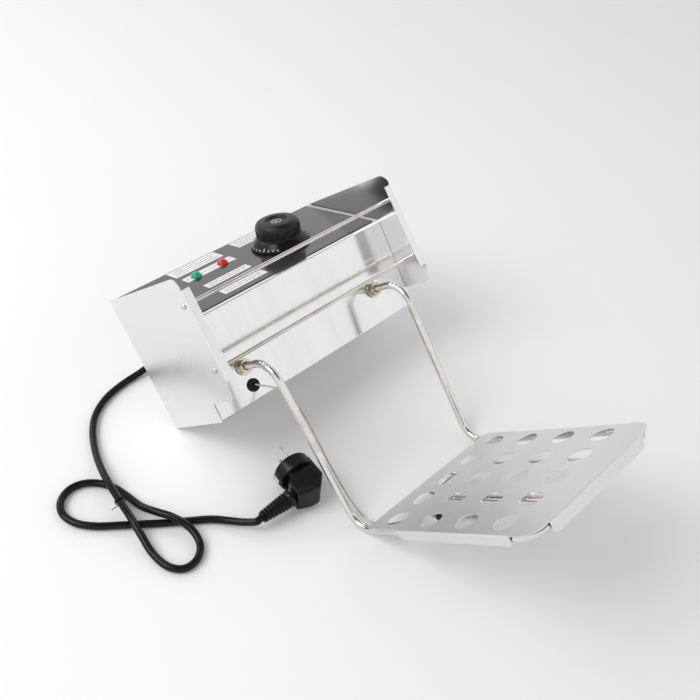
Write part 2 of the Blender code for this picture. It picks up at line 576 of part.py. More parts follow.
# ---------------------------------------------------------------- cord and plug
def cord_and_plug():
    """Cord bushing, free cord with its tie, and the angled mains plug on the floor."""
    to_world = Matrix.Translation((0, -MIDDLE, 0)) @ Matrix.Rotation(-TILT, 4, "X")
    exit_point = Vector((CORD_EXIT_X, 0, CORD_EXIT_Z))
    sleeve = CORD_RADIUS + GAP
    bushing = [(0.0058, BUSHING_LENGTH), (0.0082, GAP + 0.003), (0.0095, GAP + 0.003), (0.0095, GAP),
               (0.0062, GAP), (0.0062, -0.006), (sleeve, -0.006), (sleeve, BUSHING_LENGTH)]
    turned("cord_bushing", bushing, along(exit_point, (0, 1, 0)), "black_rubber", 24, True)

    start = to_world @ (exit_point + Vector((0, -0.004, 0)))
    leave = to_world @ (exit_point + Vector((0, BUSHING_LENGTH, 0)))
    shift = Vector((0, -MIDDLE, 0))
    lying = [(-0.0765, 0.0730, 0.0270), (-0.0860, 0.0815, 0.0160), (-0.1010, 0.0845, 0.0090),
             (-0.1190, 0.0850, 0.0050), (-0.1400, 0.0840, 0.0039), (-0.1635, 0.0785, 0.0039),
             (-0.1850, 0.0665, 0.0039), (-0.2010, 0.0490, 0.0039), (-0.2145, 0.0250, 0.0050),
             (-0.2250, -0.0010, 0.0095), (-0.2310, -0.0230, 0.0117), (-0.2355, -0.0460, 0.0117),
             (-0.2395, -0.0690, 0.0117), (-0.2430, -0.0890, 0.0085), (-0.2455, -0.1080, 0.0045),
             (-0.2440, -0.1270, 0.0039), (-0.2350, -0.1390, 0.0039), (-0.2210, -0.1395, 0.0039),
             (-0.2085, -0.1290, 0.0045), (-0.2055, -0.1120, 0.0085), (-0.2105, -0.0940, 0.0117),
             (-0.2180, -0.0770, 0.0105), (-0.2225, -0.0600, 0.0060), (-0.2240, -0.0420, 0.0040),
             (-0.2270, -0.0250, 0.0039), (-0.2350, -0.0100, 0.0039), (-0.2470, -0.0005, 0.0039),
             (-0.2610, 0.0010, 0.0039), (-0.2735, -0.0060, 0.0039), (-0.2795, -0.0190, 0.0039),
             (-0.2765, -0.0350, 0.0039), (-0.2650, -0.0500, 0.0039), (-0.2480, -0.0640, 0.0039),
             (-0.2310, -0.0775, 0.0039), (-0.2145, -0.0905, 0.0039), (-0.1985, -0.1020, 0.0039),
             (-0.1835, -0.1135, 0.0042), (-0.1730, -0.1265, 0.0055), (-0.1665, -0.1370, 0.0080)]
    turn = Matrix.Rotation(PLUG_HEADING, 4, "Z")
    plug_place = Matrix.Translation(PLUG_FACE + shift) @ turn
    boot_start = plug_place @ Vector((-0.0192, -0.0310, -0.0010))
    boot_end = plug_place @ Vector((-0.0530, -0.0340, -0.0045))
    boot_axis = (boot_end - boot_start).normalized()
    boot_length = (boot_end - boot_start).length
    cord_points = [start, leave] + [Vector(p) + shift for p in lying]
    cord_points += [boot_end + boot_axis * d for d in (0.007, 0.002, -0.003, -0.008)]
    tube("cord", smooth(cord_points, 2), CORD_RADIUS, "black_gloss", 2, None)

    boot = [(0.0056, boot_length), (0.0064, boot_length - 0.004), (0.0086, GAP), (0.0030, GAP),
            (0.0030, boot_length * 0.70), (sleeve + GAP, boot_length * 0.70), (sleeve + GAP, boot_length)]
    turned("plug_boot", boot, along(boot_start, boot_axis), "black_gloss", 24, True, None)
    plug(plug_place)

    tie_centre = Vector((-0.2355, -0.0460, 0.0117)) + shift
    strand = Vector((-0.182, -0.983, 0))
    inner, outer = CORD_RADIUS + 0.0006, CORD_RADIUS + 0.0013
    ring = [(outer, 0.0010), (outer, -0.0010), (inner, -0.0010), (inner, 0.0010)]
    turned("cord_tie", ring, along(tie_centre, strand), "black_gloss", 20, True, None)


def plug(place):
    """Angled earthed plug: round face with two flats, tapered back, pins and earth clips."""
    face_depth, flat_half = 0.0140, 0.0180
    disc = rod("plug_body", (0, 0, 0), (0, -1, 0), PLUG_RADIUS, face_depth, "black_gloss", 32, None)
    disc.matrix_world = place @ along((0, 0, 0), (0, -1, 0))
    back_shape = [(0.0165, -0.006), (0.0165, -0.030), (0.0060, -0.0430), (-0.0060, -0.0430),
                  (-0.0172, -0.0395), (-0.0172, -0.0225), (-0.0120, -0.0175), (-0.0120, -0.006)]
    back = flat("plug_back", back_shape, 0.0250, place, "black_gloss")
    back.parent = None
    back.matrix_world = place
    cut(disc, back, "UNION")
    for name, side in (("upper", 1), ("lower", -1)):
        low = flat_half if side > 0 else -flat_half - 0.006
        shave = box("plug_flat_" + name, (-0.03, -0.05, low), (0.03, 0.01, low + 0.006), "black_gloss",
                    place=place, parent=None)
        cut(disc, shave)
    pin_profile = [(0, 0.0190), (0.0015, 0.0190), (0.0024, 0.0175), (0.0024, GAP), (0, GAP)]
    for name, height in (("upper", 0.0095), ("lower", -0.0095)):
        spot = place @ along((0, 0, height), (0, 1, 0))
        turned("plug_pin_" + name, pin_profile, spot, "nickel", 16, False, None)
    for name, side in (("outer", 1), ("inner", -1)):
        x = side * (PLUG_RADIUS + 0.0006)
        clip = box("earth_clip_" + name, (min(x, x + side * 0.0008), -0.011, -0.0035),
                   (max(x, x + side * 0.0008), -0.0010, 0.0035), "nickel", place=place, parent=None)
        clip.name = "earth_clip_" + name


housing()
controls()
heater()
sensing()
wiring()
cord_and_plug()
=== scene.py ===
"""Studio model of the lift-out control head of a countertop electric deep fryer.

The head is stored lying tilted back.  Its pieces are shaped in the upright working
position (X right, Y to the rear, Z up, zero at the middle of the housing's lower rear
edge) and then laid over by LAID.  The cord and the plug are shaped where they lie.
Lengths are in metres.
"""
import math

import bpy
from mathutils import Matrix, Vector


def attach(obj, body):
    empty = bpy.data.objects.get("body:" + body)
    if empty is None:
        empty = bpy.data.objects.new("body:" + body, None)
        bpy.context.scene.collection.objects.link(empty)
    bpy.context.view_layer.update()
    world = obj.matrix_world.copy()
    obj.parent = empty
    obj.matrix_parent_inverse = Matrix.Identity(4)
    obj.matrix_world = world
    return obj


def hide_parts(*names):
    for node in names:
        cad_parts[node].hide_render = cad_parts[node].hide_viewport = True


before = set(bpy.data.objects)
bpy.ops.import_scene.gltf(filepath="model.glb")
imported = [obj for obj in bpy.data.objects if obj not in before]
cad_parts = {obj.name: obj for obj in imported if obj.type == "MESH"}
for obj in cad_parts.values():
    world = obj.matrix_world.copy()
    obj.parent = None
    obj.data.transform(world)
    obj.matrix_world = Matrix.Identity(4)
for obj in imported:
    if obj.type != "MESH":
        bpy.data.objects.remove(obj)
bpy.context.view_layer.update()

# ---------------------------------------------------------------- dimensions
WIDTH, SHEET, GAP = 0.270, 0.001, 0.0003
DEPTH_BOTTOM, DEPTH_TOP = 0.0997, 0.1064
HEIGHT_BACK, HEIGHT_FRONT = 0.1442, 0.0968
EAR_DEPTH, EAR_TOP, EAR_BOTTOM, EAR_NOTCH, EAR_RADIUS = 0.1459, 0.1393, 0.0368, 0.0190, 0.012
CAP_FLANGE = 0.009
RODS = {"upper": (-0.1370, 0.1135), "lower": (-0.1340, 0.0500)}
ROD_RADIUS, TUBE_RADIUS = 0.0020, 0.00375
EXIT_X, EXIT_Z = 0.0900, 0.0355
LEG_Y, LEG_BEND, FOOT_BEND = -0.1500, 0.024, 0.021
RUN_X, RUN_Z, RUN_FRONT, RUN_REAR = 0.0840, -0.1470, -0.3735, -0.1930
INNER_X, CORNER_BEND = 0.0300, 0.018
GUARD_HALF, GUARD_REAR, GUARD_FRONT, GUARD_SHEET = 0.0890, -0.1712, -0.3788, 0.0008
GUARD_TOP = RUN_Z + TUBE_RADIUS + GAP + GUARD_SHEET
KNOB_X, KNOB_S, KNOB_SKIRT, KNOB_GRIP, KNOB_H = 0.0425, 0.0590, 0.0320, 0.0238, 0.0270
OVERLAY_T, LAMP_S = 0.0005, 0.0400
LAMPS = {"green": -0.0560, "red": -0.0220}
SHAFT_HOLE, LAMP_HOLE, ROD_SCREW_HOLE = 0.0045, 0.0043, 0.0018
GROMMET_X, GROMMET_Z, GROMMET_HOLE = -0.0885, 0.0150, 0.0045
COVER_TOP = HEIGHT_BACK - 0.013
COVER_SCREWS = [(x, z) for x in (-0.120, 0.120) for z in (0.012, COVER_TOP - 0.010)]
CORD_EXIT, BUTTON_PLACE = (-0.0750, 0.0700), (0.0600, 0.0500)
CORD_RADIUS, BUSHING_LENGTH = 0.0036, 0.024

BEND_Y, BEND_Z = LEG_Y - FOOT_BEND, RUN_Z + FOOT_BEND
TILT = (math.atan2(-BEND_Z, -BEND_Y)
        + math.asin((FOOT_BEND + TUBE_RADIUS) / math.hypot(BEND_Y, BEND_Z)))
MIDDLE = (HEIGHT_BACK * math.sin(TILT) + GUARD_FRONT * math.cos(TILT)
          + (GUARD_TOP - 0.0125) * math.sin(TILT)) / 2
LAID = Matrix.Translation((0, -MIDDLE, 0)) @ Matrix.Rotation(-TILT, 4, "X")

PANEL_ANGLE = math.atan2(HEIGHT_BACK - HEIGHT_FRONT, DEPTH_TOP)
PANEL_LENGTH = math.hypot(HEIGHT_BACK - HEIGHT_FRONT, DEPTH_TOP)
PANEL = Matrix.Translation((0, 0, HEIGHT_BACK)) @ Matrix.Rotation(PANEL_ANGLE, 4, "X")
FRONT_NORMAL = Vector((0, -HEIGHT_FRONT, DEPTH_BOTTOM - DEPTH_TOP)).normalized()


def on_panel(x, down, above=0.0):
    """A place on the sloping panel whose Z axis is the panel's normal."""
    return PANEL @ Matrix.Translation((x, -down, above))


def on_front(x, z):
    """A point on the housing's front face at height z."""
    return Vector((x, -DEPTH_BOTTOM + (DEPTH_BOTTOM - DEPTH_TOP) * z / HEIGHT_FRONT, z))


def along(start, direction):
    """A place at start whose Z axis runs along direction."""
    return Matrix.Translation(start) @ Vector(direction).to_track_quat("Z", "Y").to_matrix().to_4x4()


# ---------------------------------------------------------------- surface effects
def group(name, inputs, outputs):
    """An empty node group with named sockets."""
    made = bpy.data.node_groups.new(name, "ShaderNodeTree")
    for label, kind, value in inputs:
        socket = made.interface.new_socket(name=label, in_out="INPUT", socket_type=kind)
        socket.default_value = value
    for label, kind in outputs:
        made.interface.new_socket(name=label, in_out="OUTPUT", socket_type=kind)
    return made, made.nodes.new("NodeGroupInput"), made.nodes.new("NodeGroupOutput")


def surface_group():
    """Fine grain, soft blotches and small scratches on Object coordinates."""
    tree, given, out = group(
        "surface_marks",
        [("Grain Scale", "NodeSocketFloat", 400.0), ("Stretch", "NodeSocketVector", (1, 1, 1)),
         ("Blotch Scale", "NodeSocketFloat", 12.0), ("Scratch Amount", "NodeSocketFloat", 0.3)],
        [("Grain", "NodeSocketFloat"), ("Blotch", "NodeSocketFloat"), ("Height", "NodeSocketFloat")])
    nodes, link = tree.nodes, tree.links.new
    where = nodes.new("ShaderNodeTexCoord")
    stretched = nodes.new("ShaderNodeVectorMath")
    stretched.operation = "MULTIPLY"
    link(where.outputs["Object"], stretched.inputs[0])
    link(given.outputs["Stretch"], stretched.inputs[1])
    grain = nodes.new("ShaderNodeTexNoise")
    grain.inputs["Detail"].default_value = 3.0
    link(stretched.outputs[0], grain.inputs["Vector"])
    link(given.outputs["Grain Scale"], grain.inputs["Scale"])
    blotch = nodes.new("ShaderNodeTexNoise")
    blotch.inputs["Detail"].default_value = 4.0
    blotch.inputs["Roughness"].default_value = 0.6
    link(stretched.outputs[0], blotch.inputs["Vector"])
    link(given.outputs["Blotch Scale"], blotch.inputs["Scale"])
    lines = nodes.new("ShaderNodeTexNoise")
    lines.inputs["Scale"].default_value = 90.0
    lines.inputs["Detail"].default_value = 6.0
    lines.inputs["Distortion"].default_value = 1.5
    link(stretched.outputs[0], lines.inputs["Vector"])
    narrow = nodes.new("ShaderNodeMapRange")
    narrow.inputs["From Min"].default_value = 0.66
    narrow.inputs["From Max"].default_value = 0.74
    link(lines.outputs["Fac"], narrow.inputs["Value"])
    marks = nodes.new("ShaderNodeMath")
    marks.operation = "MULTIPLY"
    link(narrow.outputs["Result"], marks.inputs[0])
    link(given.outputs["Scratch Amount"], marks.inputs[1])
    height = nodes.new("ShaderNodeMath")
    height.operation = "SUBTRACT"
    link(grain.outputs["Fac"], height.inputs[0])
    link(marks.outputs[0], height.inputs[1])
    link(grain.outputs["Fac"], out.inputs["Grain"])
    link(blotch.outputs["Fac"], out.inputs["Blotch"])
    link(height.outputs[0], out.inputs["Height"])
    return tree


SURFACE = surface_group()


def finish(name, colour, second, rough, metal, grain=400.0, stretch=(1, 1, 1), blotch=12.0,
           scratch=0.3, bump=0.05, depth=0.00005, spread=(0.35, 0.65), **constants):
    """A material: two tones mixed by blotches, roughness by grain, and a fine bump."""
    made = bpy.data.materials.new(name)
    made.use_nodes = True
    nodes, link = made.node_tree.nodes, made.node_tree.links.new
    shader = nodes["Principled BSDF"]
    marks = nodes.new("ShaderNodeGroup")
    marks.node_tree = SURFACE
    marks.inputs["Grain Scale"].default_value = grain
    marks.inputs["Stretch"].default_value = stretch
    marks.inputs["Blotch Scale"].default_value = blotch
    marks.inputs["Scratch Amount"].default_value = scratch
    tone = nodes.new("ShaderNodeMapRange")
    tone.inputs["From Min"].default_value, tone.inputs["From Max"].default_value = spread
    link(marks.outputs["Blotch"], tone.inputs["Value"])
    mix = nodes.new("ShaderNodeMix")
    mix.data_type = "RGBA"
    mix.inputs["A"].default_value = (*colour, 1)
    mix.inputs["B"].default_value = (*second, 1)
    link(tone.outputs["Result"], mix.inputs["Factor"])
    link(mix.outputs["Result"], shader.inputs["Base Color"])
    gloss = nodes.new("ShaderNodeMapRange")
    gloss.inputs["From Min"].default_value, gloss.inputs["From Max"].default_value = 0.3, 0.7
    gloss.inputs["To Min"].default_value, gloss.inputs["To Max"].default_value = rough
    link(marks.outputs["Grain"], gloss.inputs["Value"])
    link(gloss.outputs["Result"], shader.inputs["Roughness"])
    relief = nodes.new("ShaderNodeBump")
    relief.inputs["Strength"].default_value = bump
    relief.inputs["Distance"].default_value = depth
    link(marks.outputs["Height"], relief.inputs["Height"])
    link(relief.outputs["Normal"], shader.inputs["Normal"])
    shader.inputs["Metallic"].default_value = metal
    for socket, value in constants.items():
        shader.inputs[socket.replace("_", " ")].default_value = value
    return made


STEEL = finish("brushed_stainless", (0.83, 0.825, 0.83), (0.79, 0.785, 0.79), (0.10, 0.18), 1.0,
               500, (1, 0.04, 0.04), 70, 0.15, 0.04)
POLISHED = finish("polished_stainless", (0.80, 0.80, 0.805), (0.75, 0.75, 0.757), (0.13, 0.22), 1.0,
                  500, (0.06, 1, 1), 11, 0.15, 0.03)
SIDE = finish("satin_stainless_side", (0.82, 0.82, 0.825), (0.78, 0.78, 0.787), (0.26, 0.36), 1.0,
              500, (1, 0.06, 0.06), 14, 0.15, 0.03)
SATIN = finish("satin_guard_sheet", (0.78, 0.78, 0.785), (0.72, 0.72, 0.73), (0.30, 0.40), 1.0,
               900, (0.05, 1, 1), 14, 0.30, 0.08)
NICKEL = finish("nickel_plate", (0.74, 0.72, 0.665), (0.62, 0.59, 0.52), (0.06, 0.12), 1.0,
                600, (1, 1, 1), 45, 0.3, 0.04)
HEATER = finish("heater_sheath", (0.74, 0.72, 0.69), (0.56, 0.51, 0.45), (0.08, 0.18), 1.0,
                500, (1, 1, 1), 38, 0.4, 0.05, spread=(0.48, 0.85))
BRASS = finish("plated_brass", (0.74, 0.69, 0.56), (0.60, 0.53, 0.40), (0.14, 0.26), 1.0,
               800, (1, 1, 1), 120, 0.3, 0.06)
COPPER = finish("tinned_copper", (0.55, 0.52, 0.48), (0.44, 0.38, 0.33), (0.25, 0.40), 1.0,
                500, (1, 1, 1), 90, 0.2, 0.05)
OVERLAY = finish("overlay_film", (0.030, 0.028, 0.032), (0.036, 0.034, 0.038), (0.10, 0.17), 0.0,
                 1600, (1, 1, 1), 30, 0.15, 0.05, Specular_IOR_Level=1.0)
PRINT = finish("printed_label", (0.78, 0.78, 0.79), (0.73, 0.73, 0.745), (0.35, 0.45), 0.0,
               900, (1, 1, 1), 60, 0.1, 0.03)
INK = finish("grey_print", (0.33, 0.33, 0.35), (0.42, 0.42, 0.44), (0.40, 0.50), 0.0,
             900, (1, 1, 1), 300, 0.0, 0.02)
BAKELITE = finish("moulded_bakelite", (0.0040, 0.0040, 0.0044), (0.0060, 0.0060, 0.0064),
                  (0.14, 0.24), 0.0, 700, (1, 1, 1), 60, 0.25, 0.05, Specular_IOR_Level=0.22)
GRIP = finish("satin_knob_grip", (0.0060, 0.0060, 0.0064), (0.0095, 0.0095, 0.0100), (0.30, 0.42), 0.0,
              1500, (1, 1, 1), 70, 0.2, 0.10, Specular_IOR_Level=0.30)
MARKS = finish("white_dial_marks", (0.66, 0.66, 0.67), (0.58, 0.58, 0.59), (0.40, 0.50), 0.0,
               900, (1, 1, 1), 80, 0.0, 0.02)
PVC = finish("glossy_cord_sheath", (0.0035, 0.0035, 0.0038), (0.0055, 0.0055, 0.0060), (0.14, 0.22), 0.0,
             900, (1, 1, 1), 50, 0.2, 0.05, Specular_IOR_Level=0.22)
RUBBER = finish("matte_rubber", (0.0060, 0.0060, 0.0060), (0.0110, 0.0110, 0.0110), (0.50, 0.62), 0.0,
                1200, (1, 1, 1), 90, 0.1, 0.12, Specular_IOR_Level=0.25)
CERAMIC = finish("glazed_ceramic", (0.80, 0.78, 0.72), (0.74, 0.71, 0.64), (0.40, 0.55), 0.0,
                 800, (1, 1, 1), 70, 0.1, 0.08)
# Both lens finishes carry a faint painted glow through emission, as if the lamps were lit; the red one also
# coats the reset button.
GREEN = finish("green_lens", (0.010, 0.36, 0.19), (0.014, 0.44, 0.24), (0.10, 0.16), 0.0,
               900, (1, 1, 1), 200, 0.1, 0.02, Transmission_Weight=0.30, IOR=1.49,
               Emission_Color=(0.01, 0.40, 0.20, 1), Emission_Strength=0.10)
RED = finish("red_lens", (0.58, 0.010, 0.016), (0.68, 0.014, 0.020), (0.10, 0.16), 0.0,
             900, (1, 1, 1), 200, 0.1, 0.02, Transmission_Weight=0.30, IOR=1.49,
             Emission_Color=(0.70, 0.01, 0.02, 1), Emission_Strength=0.12)
SLEEVING = finish("glass_sleeving", (0.30, 0.32, 0.36), (0.24, 0.26, 0.30), (0.50, 0.65), 0.0,
                  1500, (1, 1, 1), 200, 0.1, 0.15)


# ---------------------------------------------------------------- modelling helpers
def deselect():
    """Leave edit mode with nothing selected."""
    if bpy.context.mode != "OBJECT":
        bpy.ops.object.mode_set(mode="OBJECT")
    bpy.ops.object.select_all(action="DESELECT")


def pick(*objs):
    """Select only these objects, the first one active."""
    deselect()
    for obj in objs:
        obj.select_set(True)
    bpy.context.view_layer.objects.active = objs[0]


def apply_all(obj):
    """Apply the modifiers of a piece in their order."""
    pick(obj)
    for modifier in list(obj.modifiers):
        bpy.ops.object.modifier_apply(modifier=modifier.name)


def wire(name, points):
    """A line of edges drawn by extruding one point after another."""
    deselect()
    bpy.ops.mesh.primitive_plane_add(size=0.001, location=(0, 0, 0))
    obj = bpy.context.object
    obj.name = name
    points = [Vector(p) for p in points]
    bpy.ops.object.mode_set(mode="EDIT")
    bpy.ops.mesh.select_mode(type="VERT")
    bpy.ops.mesh.select_all(action="SELECT")
    bpy.ops.mesh.merge(type="CENTER")
    bpy.ops.transform.translate(value=points[0])
    for a, b in zip(points, points[1:]):
        bpy.ops.mesh.extrude_region_move(TRANSFORM_OT_translate={"value": b - a})
    bpy.ops.mesh.select_all(action="SELECT")
    return obj


def tidy_mesh(obj):
    """Merge doubles and turn the faces outwards, then leave edit mode."""
    bpy.ops.mesh.select_all(action="SELECT")
    bpy.ops.mesh.remove_doubles(threshold=0.000002)
    bpy.ops.mesh.normals_make_consistent(inside=False)
    bpy.ops.object.mode_set(mode="OBJECT")


def spun(name, profile, steps=64):
    """A turned piece about Z; the profile lists (radius, height)."""
    obj = wire(name, [(r, 0, z) for r, z in profile])
    bpy.ops.mesh.spin(steps=steps, angle=math.tau, center=(0, 0, 0), axis=(0, 0, 1))
    tidy_mesh(obj)
    return obj


def ribbon(name, points, move):
    """An open strip: a line of points drawn out by move."""
    obj = wire(name, points)
    bpy.ops.mesh.extrude_region_move(TRANSFORM_OT_translate={"value": Vector(move)})
    tidy_mesh(obj)
    return obj


def join(*objs):
    """One object from several, with touching points merged."""
    pick(*objs)
    bpy.ops.object.join()
    bpy.ops.object.mode_set(mode="EDIT")
    tidy_mesh(objs[0])
    return objs[0]


def face_out(obj, direction):
    """Turn an open sheet so that its largest face looks along direction."""
    largest = max(obj.data.polygons, key=lambda f: f.area)
    if largest.normal.dot(Vector(direction)) < 0:
        pick(obj)
        bpy.ops.object.mode_set(mode="EDIT")
        bpy.ops.mesh.select_all(action="SELECT")
        bpy.ops.mesh.flip_normals()
        bpy.ops.object.mode_set(mode="OBJECT")


def flat(name, outlines, thickness=0.0):
    """A flat sheet in XY from its outline and the outlines of its holes."""
    curve = bpy.data.curves.new(name, "CURVE")
    curve.dimensions = "2D"
    curve.fill_mode = "BOTH"
    curve.extrude = thickness / 2
    for outline in outlines:
        spline = curve.splines.new("POLY")
        spline.points.add(len(outline) - 1)
        for item, (u, v) in zip(spline.points, outline):
            item.co = (u, v, 0, 1)
        spline.use_cyclic_u = True
    obj = bpy.data.objects.new(name, curve)
    bpy.context.scene.collection.objects.link(obj)
    pick(obj)
    bpy.ops.object.convert(target="MESH")
    obj = bpy.context.object
    bpy.ops.object.mode_set(mode="EDIT")
    tidy_mesh(obj)
    return obj


def tube(name, points, radius, fineness=5):
    """A round tube with closed ends through points."""
    curve = bpy.data.curves.new(name, "CURVE")
    curve.dimensions = "3D"
    curve.bevel_depth = radius
    curve.bevel_resolution = fineness
    curve.use_fill_caps = True
    spline = curve.splines.new("POLY")
    spline.points.add(len(points) - 1)
    for item, point in zip(spline.points, points):
        item.co = (*point, 1)
    obj = bpy.data.objects.new(name, curve)
    bpy.context.scene.collection.objects.link(obj)
    return obj


def to_mesh(obj):
    """Make a curve piece a mesh with its end caps merged on."""
    pick(obj)
    bpy.ops.object.convert(target="MESH")
    obj = bpy.context.object
    bpy.ops.object.mode_set(mode="EDIT")
    tidy_mesh(obj)
    return obj


def block(name, low, high, edge=0.0, segments=3):
    """A box between two corners with rounded edges."""
    low, high = Vector(low), Vector(high)
    deselect()
    bpy.ops.mesh.primitive_cube_add(size=1.0, location=(low + high) / 2, scale=high - low)
    obj = bpy.context.object
    obj.name = name
    pick(obj)
    bpy.ops.object.transform_apply(location=True, rotation=True, scale=True)
    if edge:
        soften(obj, edge, segments)
    return obj


def cylinder(name, place, radius, low, high, sides=48):
    """A plain round bar used for cutting, from low to high on a place's Z axis."""
    deselect()
    bpy.ops.mesh.primitive_cylinder_add(vertices=sides, radius=radius, depth=high - low,
                                        location=(0, 0, (low + high) / 2))
    obj = bpy.context.object
    obj.name = name
    pick(obj)
    bpy.ops.object.transform_apply(location=True, rotation=True, scale=True)
    obj.data.transform(place)
    return obj


def soften(obj, width, segments=2, angle=35):
    """Round the sharp edges of a piece."""
    rounding = obj.modifiers.new("rounding", "BEVEL")
    rounding.width = width
    rounding.segments = segments
    rounding.limit_method = "ANGLE"
    rounding.angle_limit = math.radians(angle)
    rounding.harden_normals = False
    apply_all(obj)


def wall(obj, thickness):
    """Give an open sheet its thickness, inwards from its outer side."""
    sheet = obj.modifiers.new("wall", "SOLIDIFY")
    sheet.thickness = thickness
    sheet.offset = -1.0
    sheet.use_even_offset = True
    apply_all(obj)


def cut(obj, tool, operation="DIFFERENCE"):
    """Cut a tool out of a piece, or join it on, and throw the tool away."""
    boolean = obj.modifiers.new("cut", "BOOLEAN")
    boolean.operation = operation
    boolean.solver = "EXACT"
    boolean.object = tool
    apply_all(obj)
    bpy.data.objects.remove(tool, do_unlink=True)


def shade(obj, angle=35):
    """Smooth shading that keeps sharp edges sharp."""
    pick(obj)
    bpy.ops.object.shade_smooth_by_angle(angle=math.radians(angle))
    even = obj.modifiers.new("even_normals", "WEIGHTED_NORMAL")
    even.keep_sharp = True
    even.weight = 100
    apply_all(obj)


def done(obj, place, material, body, nodes=(), angle=35):
    """Put a finished piece in its place, coat it, and hand it to its body."""
    obj.data.transform(place)
    obj.matrix_world = Matrix.Identity(4)
    if material is not None:
        obj.data.materials.clear()
        obj.data.materials.append(material)
    shade(obj, angle)
    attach(obj, body)
    if nodes:
        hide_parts(*nodes)
    return obj


def copy_of(obj, name):
    """A copy with its own mesh."""
    twin = obj.copy()
    twin.data = obj.data.copy()
    twin.name = name
    bpy.context.scene.collection.objects.link(twin)
    return twin


def arc(centre, radius, start, end, steps=8):
    """Points of an arc about centre, angles in degrees."""
    angles = [math.radians(start + (end - start) * i / steps) for i in range(steps + 1)]
    return [(centre[0] + radius * math.cos(a), centre[1] + radius * math.sin(a)) for a in angles]


def circle(centre, radius, steps=40):
    """A closed ring of points."""
    return arc(centre, radius, 0, 360 - 360 / steps, steps - 1)


def slab(low, high, radius, steps=4):
    """A rectangle with round corners."""
    (x0, y0), (x1, y1), r = low, high, radius
    return (arc((x1 - r, y1 - r), r, 0, 90, steps) + arc((x0 + r, y1 - r), r, 90, 180, steps)
            + arc((x0 + r, y0 + r), r, 180, 270, steps) + arc((x1 - r, y0 + r), r, 270, 360, steps))


def rounded(points, radius, steps=6):
    """The line through points with each inner corner turned into an arc."""
    points = [Vector(p) for p in points]
    path = [points[0]]
    for before, corner, after in zip(points, points[1:], points[2:]):
        a, b = (before - corner).normalized(), (after - corner).normalized()
        half = a.angle(b) / 2
        centre = corner + (a + b).normalized() * radius / math.sin(half)
        first = (corner + a * radius / math.tan(half) - centre).normalized()
        last = (corner + b * radius / math.tan(half) - centre).normalized()
        path += [centre + first.slerp(last, i / steps) * radius for i in range(steps + 1)]
    return path + [points[-1]]


def smooth(points, per_span):
    """A smooth curve through points, with per_span steps in each span."""
    points = [Vector(p) for p in points]
    ends = [points[0] * 2 - points[1]] + points + [points[-1] * 2 - points[-2]]
    path = []
    for a, b, c, d in zip(ends, ends[1:], ends[2:], ends[3:]):
        for i in range(per_span):
            t = i / per_span
            path.append((b * 2 + (c - a) * t + (a * 2 - b * 5 + c * 4 - d) * t * t
                         + (b * 3 - a - c * 3 + d) * t ** 3) / 2)
    return path + [points[-1]]


def dress(material, slot, *nodes):
    """Give carried-over pieces their finish."""
    for name in nodes:
        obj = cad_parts[name]
        obj.data.materials.clear()
        obj.data.materials.append(material)
        shade(obj, 30)


# ---------------------------------------------------------------- housing
def front_and_panel():
    """One folded sheet: lower lip, front face, sloping panel and rear lip."""
    inner = WIDTH / 2 - SHEET - GAP
    lip = 0.012
    section = rounded([(-inner, -DEPTH_BOTTOM + lip, 0), (-inner, -DEPTH_BOTTOM, 0),
                       (-inner, -DEPTH_TOP, HEIGHT_FRONT), (-inner, 0, HEIGHT_BACK),
                       (-inner, 0, HEIGHT_BACK - lip)], 0.0016)
    wrap = ribbon("folded_front_and_panel", section, (2 * inner, 0, 0))
    face_out(wrap, (0, -0.5, 0.8))
    wall(wrap, SHEET)
    reach = 0.006
    holes = [(along(on_front(x, EXIT_Z), FRONT_NORMAL), TUBE_RADIUS + GAP) for x in (-EXIT_X, EXIT_X)]
    holes += [(along(on_front(GROMMET_X, GROMMET_Z), FRONT_NORMAL), GROMMET_HOLE),
              (on_panel(KNOB_X, KNOB_S), SHAFT_HOLE)]
    holes += [(on_panel(x, LAMP_S), LAMP_HOLE) for x in LAMPS.values()]
    for place, radius in holes:
        cut(wrap, cylinder("hole", place, radius, -reach, reach))
    done(wrap, LAID, STEEL, "head", ["front_and_panel"], 28)


def rear_cover():
    """The screwed-on back with its cord, button and screw holes and a row of vent slots."""
    inner = WIDTH / 2 - SHEET - GAP
    slots, slot_pitch, slot_half, slot_low, slot_high = 10, 0.008, 0.0012, 0.094, 0.112
    holes = [circle(CORD_EXIT, 0.0065), circle(BUTTON_PLACE, 0.0045)]
    holes += [circle(spot, 0.0018, 20) for spot in COVER_SCREWS]
    for i in range(slots):
        x = 0.010 + slot_pitch * i
        holes.append(slab((x - slot_half, slot_low), (x + slot_half, slot_high), 0.0011))
    cover = flat("rear_cover_plate", [slab((-inner, 0.002), (inner, COVER_TOP), 0.002)] + holes, SHEET)
    soften(cover, 0.00015, 1)
    place = Matrix.Translation((0, -SHEET / 2, 0)) @ Matrix.Rotation(math.pi / 2, 4, "X")
    done(cover, LAID @ place, STEEL, "head", ["rear_cover"])


